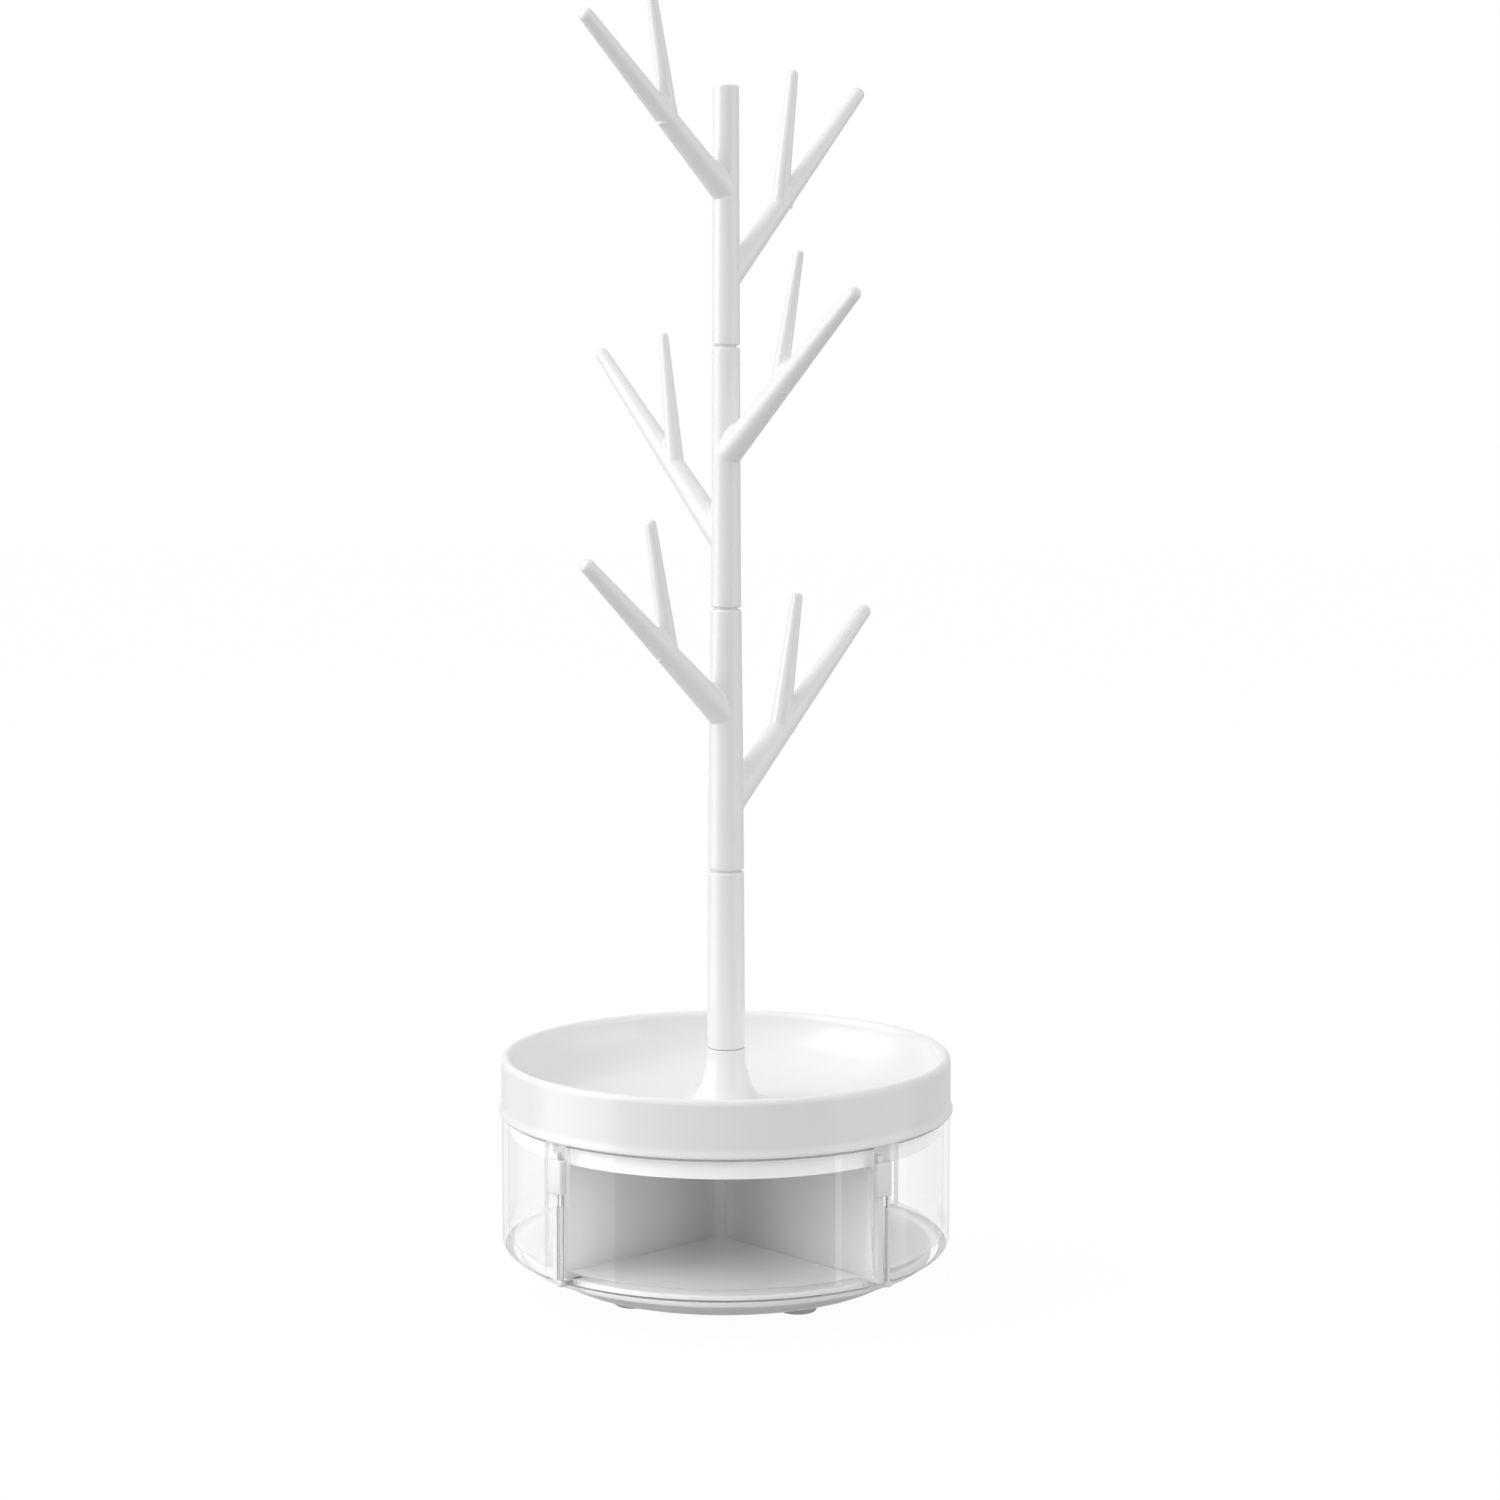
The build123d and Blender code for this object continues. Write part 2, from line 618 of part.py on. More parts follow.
# Tiers: a length of trunk with two branches, each with one twig
for tier_name, branches in tier_branches.items():
    tier_top_height = tier_tops[tier_name]
    tier_bottom_height = tier_top_height - section_length
    with BuildPart() as tier:
        with BuildSketch(Plane.XZ):
            with BuildLine():
                Polyline(*trunk_points(tier_bottom_height, tier_top_height))
            make_face()
        revolve(axis=Axis.Z)
        for azimuth, root, tip, root_width, tip_width, fork, twig_tip, fork_width, twig_width in branches:
            side = Vector(cos(radians(azimuth)), sin(radians(azimuth)), 0)
            limbs = ((root, tip, root_width, tip_width), (fork, twig_tip, fork_width, twig_width))
            for start, end, start_width, end_width in limbs:
                limb_length = hypot(end[0] - start[0], end[1] - start[1])
                rise = (end[1] - start[1]) / limb_length
                run = (end[0] - start[0]) / limb_length
                limb_start = side * start[0] + Vector(0, 0, tier_top_height + start[1])
                limb_axis = side * run + Vector(0, 0, rise)
                limb_plane = Plane(limb_start, x_dir=limb_axis, z_dir=side.cross(Vector(0, 0, 1)))
                shoulder = limb_length - end_width / 2
                with BuildSketch(limb_plane):
                    with BuildLine():
                        Polyline((0, 0), (0, start_width / 2), (shoulder, end_width / 2))
                        ThreePointArc(
                            (shoulder, end_width / 2),
                            (shoulder + end_width / 2 * sin(radians(45)), end_width / 2 * cos(radians(45))),
                            (limb_length, 0),
                        )
                        Line((limb_length, 0), (0, 0))
                    make_face()
                revolve(axis=Axis(limb_start, limb_axis))
        with BuildSketch(Plane.XY.offset(tier_bottom_height)):
            Rectangle(spigot_side, spigot_side)
        extrude(amount=-spigot_length)
        if tier_name != "tier_top":
            with BuildSketch(Plane.XY.offset(tier_top_height)):
                Rectangle(spigot_side + 2 * spigot_fit, spigot_side + 2 * spigot_fit)
            extrude(amount=-spigot_length - spigot_end_gap, mode=Mode.SUBTRACT)
    tier.part.label = tier_name
    export_step(tier.part, f"parts/{tier_name}.step")
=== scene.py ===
import bmesh
import bpy
import numpy as np
from math import radians
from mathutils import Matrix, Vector


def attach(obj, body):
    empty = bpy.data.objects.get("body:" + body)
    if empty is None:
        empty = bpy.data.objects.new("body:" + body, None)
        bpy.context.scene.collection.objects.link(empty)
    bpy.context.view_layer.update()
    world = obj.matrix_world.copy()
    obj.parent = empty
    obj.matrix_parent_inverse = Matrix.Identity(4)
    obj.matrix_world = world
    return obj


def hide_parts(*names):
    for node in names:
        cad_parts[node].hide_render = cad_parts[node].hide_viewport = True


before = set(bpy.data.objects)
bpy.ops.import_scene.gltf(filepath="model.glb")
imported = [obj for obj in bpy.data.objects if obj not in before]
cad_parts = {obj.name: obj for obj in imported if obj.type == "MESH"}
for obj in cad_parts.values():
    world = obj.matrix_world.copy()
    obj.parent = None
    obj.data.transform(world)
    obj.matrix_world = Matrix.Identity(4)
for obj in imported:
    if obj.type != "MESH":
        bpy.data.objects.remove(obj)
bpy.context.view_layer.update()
mm = 0.001
sharpAngle = 32

# numbers shared by the hinges, in millimetres and degrees: the azimuth of the fin beside the
# pin, the pin's distance from the axis and from the fin's middle plane, and the sizes that the
# three bodies fit to it
hinge = {
    "fin": 225, "radius": 65.25, "inset": 2.8, "bore": 0.66, "knuckle": 1.35, "knuckleTop": 34.7,
    "lug": 1.1, "lugTurn": 80, "clear": 0.45,
    "tabBottom": 38.0, "tabTop": 47.6, "tabOuter": 66.2, "tabInner": 64.4, "tabReach": 2.6,
    "tabFrom": 0.5, "tabTo": 0.35, "tabCorner": 0.15, "tabEase": 0.3,
    "webStart": 61.9, "webHalf": 1.0, "webOver": 0.8, "webGap": 0.05, "webRise": 2.0,
    "webEase": 0.2, "arm": 2.2, "armStart": 58.0, "earBottom": 12.1, "earEase": 0.25,
}


def rotZ(points, degreesTurned):
    # turn points about Z: x' = x cos a - y sin a, y' = x sin a + y cos a
    a = np.radians(degreesTurned)
    turned = points.copy()
    turned[:, 0] = points[:, 0] * np.cos(a) - points[:, 1] * np.sin(a)
    turned[:, 1] = points[:, 0] * np.sin(a) + points[:, 1] * np.cos(a)
    return turned


def rounded(corners, steps=6):
    # each corner (r, z, radius) becomes an arc tangent to its two edges:
    # centre = corner + bisector * radius / sin(half angle), arc swept between the tangent points
    out = []
    n = len(corners)
    for i, (r, z, rad) in enumerate(corners):
        here = np.array([r, z], float)
        if rad <= 0 or i in (0, n - 1):
            out.append(here)
            continue
        a = np.array(corners[i - 1][:2], float) - here
        b = np.array(corners[i + 1][:2], float) - here
        a, b = a / np.linalg.norm(a), b / np.linalg.norm(b)
        half = np.arccos(np.clip(a @ b, -1, 1)) / 2
        if half > 1.56:
            out.append(here)
            continue
        centre = here + (a + b) / np.linalg.norm(a + b) * rad / np.sin(half)
        reach = rad / np.tan(half)
        start, end = here + a * reach - centre, here + b * reach - centre
        t = np.linspace(0, 1, steps + 1)[:, None]
        sweep = np.pi - 2 * half
        arc = (np.sin((1 - t) * sweep) * start + np.sin(t * sweep) * end) / np.sin(sweep)
        out.extend(centre + arc)
    return np.array(out)


def lathe(profile, steps=160):
    # point (i, j) = (r_i cos t_j, r_i sin t_j, z_i); a first or last point on the axis is one pole,
    # and a profile that ends where it starts is closed on itself
    profile = np.asarray(profile, float)
    loop = np.allclose(profile[0], profile[-1])
    if loop:
        profile = profile[:-1]
    r, z = profile[:, 0], profile[:, 1]
    t = np.linspace(0, 2 * np.pi, steps, endpoint=False)
    poles = [] if loop else [k for k in (0, len(r) - 1) if r[k] < 1e-9]
    rings = np.array([k for k in range(len(r)) if k not in poles])
    x = np.outer(r[rings], np.cos(t))
    y = np.outer(r[rings], np.sin(t))
    zz = np.repeat(z[rings][:, None], steps, axis=1)
    verts = np.stack([x, y, zz], -1).reshape(-1, 3)
    rows = len(rings)
    i, j = np.meshgrid(np.arange(rows if loop else rows - 1), np.arange(steps), indexing="ij")
    i, j = i.ravel(), j.ravel()
    up, side = (i + 1) % rows, (j + 1) % steps
    quads = np.stack([i * steps + j, i * steps + side, up * steps + side, up * steps + j], -1)
    fans = []
    j = np.arange(steps)
    for k in poles:
        pole = len(verts)
        verts = np.vstack([verts, [[0, 0, z[k]]]])
        ring = 0 if k == 0 else (rows - 1) * steps
        a, b = ring + j, ring + (j + 1) % steps
        order = (np.full(steps, pole), b, a) if k == 0 else (np.full(steps, pole), a, b)
        fans.append(np.stack(order, -1))
    return verts, quads, np.vstack(fans) if fans else np.zeros((0, 3), int)


def moved(part, offset):
    return part[0] + np.asarray(offset, float), part[1], part[2]


def turnedBy(part, degreesTurned):
    return rotZ(part[0], degreesTurned), part[1], part[2]


def joined(parts):
    # closed shells laid in one mesh: the indices of each are shifted past those before it
    verts, quads, fans, count = [], [], [], 0
    for v, q, f in parts:
        verts.append(v)
        quads.append(q + count)
        fans.append(f + count)
        count += len(v)
    return np.vstack(verts), np.vstack(quads), np.vstack(fans)


def toObject(name, part):
    # vertices, loops and faces go into the mesh as whole arrays
    verts, quads, fans = part
    mesh = bpy.data.meshes.new(name)
    mesh.vertices.add(len(verts))
    mesh.vertices.foreach_set("co", (np.asarray(verts, np.float32) * mm).ravel())
    loops = np.concatenate([quads.ravel(), fans.ravel()]).astype(np.int32)
    mesh.loops.add(len(loops))
    mesh.loops.foreach_set("vertex_index", loops)
    starts = np.concatenate([np.arange(len(quads)) * 4, len(quads) * 4 + np.arange(len(fans)) * 3])
    mesh.polygons.add(len(starts))
    mesh.polygons.foreach_set("loop_start", starts.astype(np.int32))
    mesh.polygons.foreach_set("use_smooth", np.ones(len(starts), bool))
    mesh.update(calc_edges=True)
    mesh.validate()
    mesh.set_sharp_from_angle(angle=radians(sharpAngle))
    piece = bpy.data.objects.new(name, mesh)
    bpy.context.scene.collection.objects.link(piece)
    return piece


def place(piece, body, slotName, material, *nodes):
    piece.data.materials.clear()
    piece.data.materials.append(material)
    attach(piece, body)
    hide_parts(*nodes)


def nodeSetup(look):
    # the sockets of a look hold the values that are the same all over the material
    material = bpy.data.materials.new(look["name"])
    material.use_nodes = True
    tree = material.node_tree
    shader = next(n for n in tree.nodes if n.type == "BSDF_PRINCIPLED")
    for name, value in look["sockets"].items():
        shader.inputs[name].default_value = value
    return material, tree, shader, tree.nodes.new("ShaderNodeTexCoord")


def noiseOf(tree, coords, scale, detail):
    noise = tree.nodes.new("ShaderNodeTexNoise")
    noise.inputs["Scale"].default_value = scale
    noise.inputs["Detail"].default_value = detail
    tree.links.new(coords.outputs["Object"], noise.inputs["Vector"])
    return noise.outputs["Fac"]


def rangeOf(tree, factor, low, high, fromLow=0.0, fromHigh=1.0):
    spread = tree.nodes.new("ShaderNodeMapRange")
    spread.inputs["From Min"].default_value = fromLow
    spread.inputs["From Max"].default_value = fromHigh
    spread.inputs["To Min"].default_value = low
    spread.inputs["To Max"].default_value = high
    tree.links.new(factor, spread.inputs["Value"])
    return spread.outputs["Result"]


def toneBetween(tree, shader, factor, low, high):
    tone = tree.nodes.new("ShaderNodeMix")
    tone.data_type = "RGBA"
    tone.inputs[6].default_value = (*low, 1)
    tone.inputs[7].default_value = (*high, 1)
    tree.links.new(factor, tone.inputs[0])
    tree.links.new(tone.outputs[2], shader.inputs["Base Color"])


def polish(tree, coords, shader, look):
    # noise lies mostly between 0.3 and 0.7, and that span is spread over the range of roughness
    noise = noiseOf(tree, coords, look["polishScale"], look["polishDetail"])
    tree.links.new(rangeOf(tree, noise, *look["roughness"], 0.3, 0.7), shader.inputs["Roughness"])


def unevenSkin(tree, coords, shader, strength, depth, scale, detail):
    bump = tree.nodes.new("ShaderNodeBump")
    bump.inputs["Strength"].default_value = strength
    bump.inputs["Distance"].default_value = depth
    tree.links.new(noiseOf(tree, coords, scale, detail), bump.inputs["Height"])
    tree.links.new(bump.outputs["Normal"], shader.inputs["Normal"])


def mouldedPlastic(look):
    # moulded white: a faint drift of tone, uneven polish and the slight ripple of a moulded skin
    material, tree, shader, coords = nodeSetup(look)
    drift = noiseOf(tree, coords, look["driftScale"], look["driftDetail"])
    toneBetween(tree, shader, drift, look["color"], look["colorWorn"])
    polish(tree, coords, shader, look)
    unevenSkin(tree, coords, shader, *look["skin"])
    return material


def clearPlastic(look):
    # clear polystyrene: light goes straight through these thin walls and the gloss of the skin
    # comes from the coat. Seen along its length a wall is greyer; faint flow marks in the skin
    material, tree, shader, coords = nodeSetup(look)
    grazing = tree.nodes.new("ShaderNodeLayerWeight")
    grazing.inputs["Blend"].default_value = 0.5
    depth = rangeOf(tree, grazing.outputs["Facing"], 0.0, 1.0, look["greyFrom"])
    toneBetween(tree, shader, depth, look["color"], look["colorAlong"])
    polish(tree, coords, shader, look)
    unevenSkin(tree, coords, shader, *look["skin"])
    # light passes straight through to what lies in the drawers, so that they aren't dark inside
    output = next(n for n in tree.nodes if n.type == "OUTPUT_MATERIAL")
    straight = tree.nodes.new("ShaderNodeBsdfTransparent")
    straight.inputs["Color"].default_value = (*look["shade"], 1)
    path = tree.nodes.new("ShaderNodeLightPath")
    through = tree.nodes.new("ShaderNodeMixShader")
    tree.links.new(path.outputs["Is Shadow Ray"], through.inputs["Fac"])
    tree.links.new(shader.outputs["BSDF"], through.inputs[1])
    tree.links.new(straight.outputs["BSDF"], through.inputs[2])
    tree.links.new(through.outputs["Shader"], output.inputs["Surface"])
    return material


def wallEdge(look):
    # the ends and rims of the clear walls carry painted light: a pale half-diffuse painted
    # highlight on the ends and side rims for the light a wall carries to its cut end, and dark grey
    # painted shade on the front top rim and the rounded foot
    material, tree, shader, coords = nodeSetup(look)
    polish(tree, coords, shader, look)
    return material


def turnedSteel(look):
    # bright steel wire: fine rings of polish along Z
    material, tree, shader, coords = nodeSetup(look)
    wave = tree.nodes.new("ShaderNodeTexWave")
    wave.bands_direction = "Z"
    wave.inputs["Scale"].default_value = look["ringScale"]
    wave.inputs["Distortion"].default_value = look["ringDrift"]
    tree.links.new(coords.outputs["Object"], wave.inputs["Vector"])
    rings = rangeOf(tree, wave.outputs["Fac"], *look["roughness"])
    tree.links.new(rings, shader.inputs["Roughness"])
    return material


# skin: strength, depth in metres, scale and detail of the bump
whiteLook = {
    "name": "glossWhite", "color": (0.9, 0.9, 0.895), "colorWorn": (0.885, 0.885, 0.88),
    "driftScale": 9.0, "driftDetail": 2.0, "polishScale": 60.0, "polishDetail": 3.0,
    "roughness": (0.22, 0.27), "skin": (0.05, 0.0001, 90.0, 1.5), "sockets": {"IOR": 1.5},
}
padLook = {
    "name": "softPad", "color": (0.9, 0.9, 0.89), "colorWorn": (0.87, 0.87, 0.86),
    "driftScale": 60.0, "driftDetail": 2.0, "polishScale": 200.0, "polishDetail": 3.0,
    "roughness": (0.55, 0.7), "skin": (0.4, 0.0001, 900.0, 1.5), "sockets": {"IOR": 1.5},
}
clearLook = {
    "name": "clearStyrene", "color": (0.97, 0.975, 0.975), "colorAlong": (0.72, 0.73, 0.73),
    "greyFrom": 0.86, "shade": (0.86, 0.86, 0.86), "polishScale": 40.0, "polishDetail": 2.0,
    "roughness": (0.0, 0.02), "skin": (0.1, 0.00002, 45.0, 1.0),
    "sockets": {"Transmission Weight": 1.0, "IOR": 1.0, "Coat Weight": 0.6, "Coat IOR": 1.5,
                "Coat Roughness": 0.02},
}
floorLook = {
    **clearLook, "name": "clearFloor",
    "sockets": {**clearLook["sockets"], "Transmission Weight": 0.5, "Coat Weight": 1.0},
}
# painted highlight: pale half-diffuse white on the wall ends and side rims, for the light a clear
# wall carries to its end
paintedHighlightLook = {
    "name": "paintedHighlightEdge", "polishScale": 120.0, "polishDetail": 2.0, "roughness": (0.12, 0.25),
    "sockets": {"Base Color": (0.96, 0.965, 0.965, 1), "Transmission Weight": 0.5, "IOR": 1.3},
}
# painted shade: dark grey on the front top rim and the rounded foot, for the shadow under the skirt
# and the dark of refraction
paintedShadeLook = {
    **paintedHighlightLook, "name": "paintedShadeEdge",
    "sockets": {"Base Color": (0.4, 0.405, 0.41, 1), "Transmission Weight": 0.6, "IOR": 1.3},
}
steelLook = {
    "name": "pinSteel", "ringScale": 900.0, "ringDrift": 2.0, "roughness": (0.18, 0.32),
    "sockets": {"Base Color": (0.62, 0.62, 0.63, 1), "Metallic": 1.0},
}
glossWhite = mouldedPlastic(whiteLook)
softPad = mouldedPlastic(padLook)
clearStyrene = clearPlastic(clearLook)
clearFloor = clearPlastic(floorLook)
paintedHighlightEdge = wallEdge(paintedHighlightLook)
paintedShadeEdge = wallEdge(paintedShadeLook)
pinSteel = turnedSteel(steelLook)
print("finishes ready")

dish = {
    "underside": 52.3, "floor": 54.3, "bottom": 52.9, "radius": 66.8, "flare": 0.65, "top": 69.15,
    "rim": 2.9, "rimHeight": 1.9, "corner": 13.0, "collarBottom": 46.6, "collarOuter": 63.8,
    "collarWall": 1.6, "collarEase": 0.3, "neckEase": 0.2, "skirtEase": 0.25,
    "lipInset": 0.05, "lipStart": 0.6, "lipRise": 2.4, "lipPower": 1.6,
    "stem": [(15.5, 54.3), (14.0, 54.4), (11.1, 55.3), (9.1, 57.4), (7.4, 60.4), (5.9, 66.4),
             (5.75, 69.9)],
    "stemEdge": 70.25, "stemInner": 5.5, "stemTop": 70.5,
}


def splinePoints(knots, steps):
    # Catmull-Rom through the knots: each span is a cubic whose end slopes are half the chord
    # between the neighbours
    knots = np.asarray(knots, float)
    ends = np.vstack([2 * knots[0] - knots[1], knots, 2 * knots[-1] - knots[-2]])
    t = np.linspace(0, 1, steps, endpoint=False)[:, None]
    spans = []
    for a, b, c, d in zip(ends, ends[1:], ends[2:], ends[3:]):
        spans.append(0.5 * (2 * b + (c - a) * t + (2 * a - 5 * b + 4 * c - d) * t**2
                            + (3 * b - a - 3 * c + d) * t**3))
    return np.vstack(spans + [knots[-1:]])


def dishProfile(d):
    # from the axis under the dish, out to the skirt, over the rim and down the bowl to the stem
    inner, outer = d["collarOuter"] - d["collarWall"], d["collarOuter"]
    low, ease, skirt = d["collarBottom"], d["collarEase"], d["radius"] + d["flare"]
    under = rounded([
        (0, d["underside"], 0), (inner, d["underside"], ease), (inner, low, ease),
        (outer, low, ease), (outer, d["bottom"], d["neckEase"]),
        (skirt, d["bottom"], d["skirtEase"]),
        (skirt - d["lipInset"], d["bottom"] + d["lipStart"], 0),
    ], 4)
    t = np.linspace(0.1, 1, 8)
    lip = np.stack([d["radius"] + d["flare"] * (1 - t)**d["lipPower"],
                    d["bottom"] + d["lipStart"] + d["lipRise"] * t], -1)
    a = np.linspace(0, np.pi, 17)
    rim = np.stack([d["radius"] - d["rim"] / 2 + d["rim"] / 2 * np.cos(a),
                    d["top"] - d["rimHeight"] + d["rimHeight"] * np.sin(a)], -1)
    b = np.linspace(0, np.pi / 2, 25)
    centre = d["radius"] - d["rim"] - d["corner"]
    bowl = np.stack([centre + d["corner"] * np.cos(b),
                     d["floor"] + d["corner"] - d["corner"] * np.sin(b)], -1)
    stem = splinePoints(d["stem"], 8)
    neck, shoulder = d["stem"][-1]
    top = rounded([(neck, shoulder, 0), (neck, d["stemEdge"], 0),
                   (d["stemInner"], d["stemTop"], 0), (0, d["stemTop"], 0)])
    return np.vstack([under, lip, rim, bowl, stem, top[1:]])


def onHinges(shape):
    # the same shell at the four hinges, a quarter turn apart
    return [turnedBy(shape, 90 * k) for k in range(4)]


def slab(planAt, low, high, bevel, steps=4):
    # upright block over a plan outline; the outline is drawn again at each level of its rounded
    # edges, inset by bevel (1 - sin a) while the height moves on by bevel (1 - cos a)
    a = np.linspace(0, np.pi / 2, steps)
    eased = [(bevel * (1 - np.sin(x)), bevel * (1 - np.cos(x))) for x in a]
    levels = [(inset, low + rise) for inset, rise in eased]
    levels += [(inset, high - rise) for inset, rise in eased[::-1]]
    rows = [np.c_[planAt(inset), np.full(len(planAt(inset)), z)] for inset, z in levels]
    n = len(rows[0])
    verts = np.vstack(rows)
    i, j = np.meshgrid(np.arange(len(rows) - 1), np.arange(n), indexing="ij")
    i, j = i.ravel(), j.ravel()
    k = (j + 1) % n
    quads = np.stack([i * n + j, i * n + k, (i + 1) * n + k, (i + 1) * n + j], -1)
    j = np.arange(n)
    k = (j + 1) % n
    last = (len(rows) - 1) * n
    lowPole, highPole = len(verts), len(verts) + 1
    verts = np.vstack([verts, rows[0].mean(0), rows[-1].mean(0)])
    fans = np.vstack([np.stack([np.full(n, lowPole), k, j], -1),
                      np.stack([np.full(n, highPole), last + j, last + k], -1)])
    return verts, quads, fans


def aroundZ(radius, offset):
    # the point at this radius whose distance from the fin's middle plane is offset
    angle = np.radians(hinge["fin"]) + np.arcsin(offset / radius)
    return np.stack([radius * np.cos(angle), radius * np.sin(angle)], -1)


pinAt = aroundZ(hinge["radius"], hinge["inset"])
finAngle = np.radians(hinge["fin"])
finOut = np.array([np.cos(finAngle), np.sin(finAngle)])
finAcross = np.array([-finOut[1], finOut[0]])


def tabPlan(inset):
    # runs along the outer arc from the free end to the pin, round the lug and back along the
    # inner arc; the free end is rounded
    outer, inner = hinge["tabOuter"] - inset, hinge["tabInner"] + inset
    start, corner = -hinge["tabReach"] + inset, hinge["tabCorner"]
    along = np.linspace(start + hinge["tabFrom"], hinge["inset"] - hinge["tabTo"], 14)
    turn = np.radians(np.linspace(hinge["lugTurn"], -hinge["lugTurn"], 13))[:, None]
    lugEnd = pinAt + (hinge["lug"] - inset) * (np.sin(turn) * finOut + np.cos(turn) * finAcross)
    freeEnd = [aroundZ(inner + corner, start + corner), aroundZ((outer + inner) / 2, start),
               aroundZ(outer - corner, start + corner)]
    return np.vstack([aroundZ(outer, along), lugEnd, aroundZ(inner, along)[::-1], freeEnd])


def webPlan(inset):
    # the web in line with the fin that ties the tab to the collar above it
    near, half = hinge["webStart"] + inset, hinge["webHalf"] - inset
    far = hinge["tabInner"] + hinge["webOver"]
    corners = [(near, -half), (far, -half), (far, half), (near, half)]
    return np.array([out * finOut + across * finAcross for out, across in corners])


tab = slab(tabPlan, hinge["tabBottom"], hinge["tabTop"], hinge["tabEase"])
web = slab(webPlan, hinge["tabBottom"] + hinge["webGap"], hinge["tabTop"] + hinge["webRise"],
           hinge["webEase"])
bowlShells = [lathe(dishProfile(dish), 256)] + onHinges(tab) + onHinges(web)
dishBowl = toObject("dishBowl", joined(bowlShells))
place(dishBowl, "drum", "white_plastic", glossWhite, "dish_tray")
print("dish ready")

deck = {
    "radius": 60.85, "bottom": 10.1, "top": 13.5, "hub": 8.0, "hubBottom": 4.0, "reliefIn": 24.0,
    "reliefOut": 43.5, "reliefTop": 11.3, "ease": 0.4, "hubEase": 0.3, "reliefEase": 0.2,
}


def deckProfile(d):
    ease = d["reliefEase"]
    return rounded([
        (0, d["hubBottom"], 0), (d["hub"], d["hubBottom"], d["ease"]),
        (d["hub"], d["bottom"], d["hubEase"]), (d["reliefIn"], d["bottom"], ease),
        (d["reliefIn"], d["reliefTop"], ease), (d["reliefOut"], d["reliefTop"], ease),
        (d["reliefOut"], d["bottom"], ease), (d["radius"], d["bottom"], d["ease"]),
        (d["radius"], d["top"], d["ease"]), (0, d["top"], 0)], 4)


def earPlan(inset):
    # a short arm along the fin, ending in a half round about the pin
    half = hinge["arm"] / 2 - inset
    root = pinAt - (hinge["radius"] - hinge["armStart"]) * finOut
    a = np.radians(np.linspace(-90, 90, 15))[:, None]
    end = pinAt + (hinge["lug"] - inset) * (np.cos(a) * finOut + np.sin(a) * finAcross)
    return np.vstack([end, root + half * finAcross, root - half * finAcross])


ear = slab(earPlan, hinge["earBottom"], deck["top"], hinge["earEase"])
deckDisc = toObject("deckDisc", joined([lathe(deckProfile(deck), 224)] + onHinges(ear)))
place(deckDisc, "drum", "white_plastic", glossWhite, "turntable_deck")

pedestal = {
    "clear": 1.9, "flat": 38.0, "flatEase": 6.0, "slope": 46.5, "slopeRise": 2.4, "rim": 53.0,
    "bulge": 0.6, "bulgeRise": 0.9, "rimDrop": 0.4, "rimEase": 0.35, "top": 9.8, "bore": 8.06,
    "boss": 13.5, "wall": 2.2, "race": 36.0, "raceWall": 6.0, "raceTop": 7.6,
    "ballRadius": 2.55, "ballHeight": 8.75, "washer": 11.0, "washerTop": 4.1,
}


def pedestalProfile(p):
    # saucer outside, then rim, ball track, boss and bore, back to the recess under the hub
    slopeTop, floor = p["clear"] + p["slopeRise"], p["clear"] + p["wall"]
    outside = rounded([(p["washer"], p["clear"], 0), (p["flat"], p["clear"], p["flatEase"]),
                       (p["slope"], slopeTop, 0)], 8)
    a = np.linspace(0, 1, 14)[1:, None]
    slopeEnd = np.array([p["slope"], slopeTop])
    bulge = np.array([p["rim"] + p["bulge"], slopeTop + p["bulgeRise"]])
    rimEnd = np.array([p["rim"], p["top"] - p["rimDrop"]])
    curve = (1 - a)**2 * slopeEnd + 2 * a * (1 - a) * bulge + a**2 * rimEnd
    trackIn, trackOut = p["race"] - p["raceWall"], p["race"] + p["raceWall"]
    deep = p["ballHeight"] - p["raceTop"]
    half = np.sqrt(p["ballRadius"]**2 - deep**2)
    angle = np.arcsin(deep / p["ballRadius"])
    c = np.linspace(-angle, -np.pi + angle, 15)
    groove = np.stack([p["race"] + p["ballRadius"] * np.cos(c),
                       p["ballHeight"] + p["ballRadius"] * np.sin(c)], -1)
    inside = [(p["rim"] - p["rimEase"], p["top"]), (trackOut, p["top"]),
              (trackOut, p["raceTop"]), (p["race"] + half, p["raceTop"])]
    rest = [(p["race"] - half, p["raceTop"]), (trackIn, p["raceTop"]), (trackIn, floor),
            (p["boss"], floor), (p["boss"], p["top"]), (p["bore"], p["top"]),
            (p["bore"], p["washerTop"]), (p["washer"], p["washerTop"]), (p["washer"], p["clear"])]
    return np.vstack([outside, curve, inside, groove, rest])


base = toObject("pedestalSaucer", lathe(pedestalProfile(pedestal), 224))
place(base, "base", "white_plastic", glossWhite, "turntable_base")

pad = {
    "radius": 5.6, "circle": 34.0, "height": 4.3, "azimuth": 45, "turn": -4.6, "ease": 0.7,
    "topEase": 0.2,
}
padShape = lathe(rounded([(0, 0, 0), (pad["radius"], 0, pad["ease"]),
                          (pad["radius"], pad["height"], pad["topEase"]),
                          (0, pad["height"], 0)]), 48)
padAside = moved(padShape, (pad["circle"], 0, 0))
padRing = [turnedBy(padAside, pad["azimuth"] + pad["turn"] + 90 * k) for k in range(4)]
padSet = toObject("padSet", joined(padRing))
place(padSet, "base", "pad_rubber", softPad, "foot_pads")
print("deck and pedestal ready")

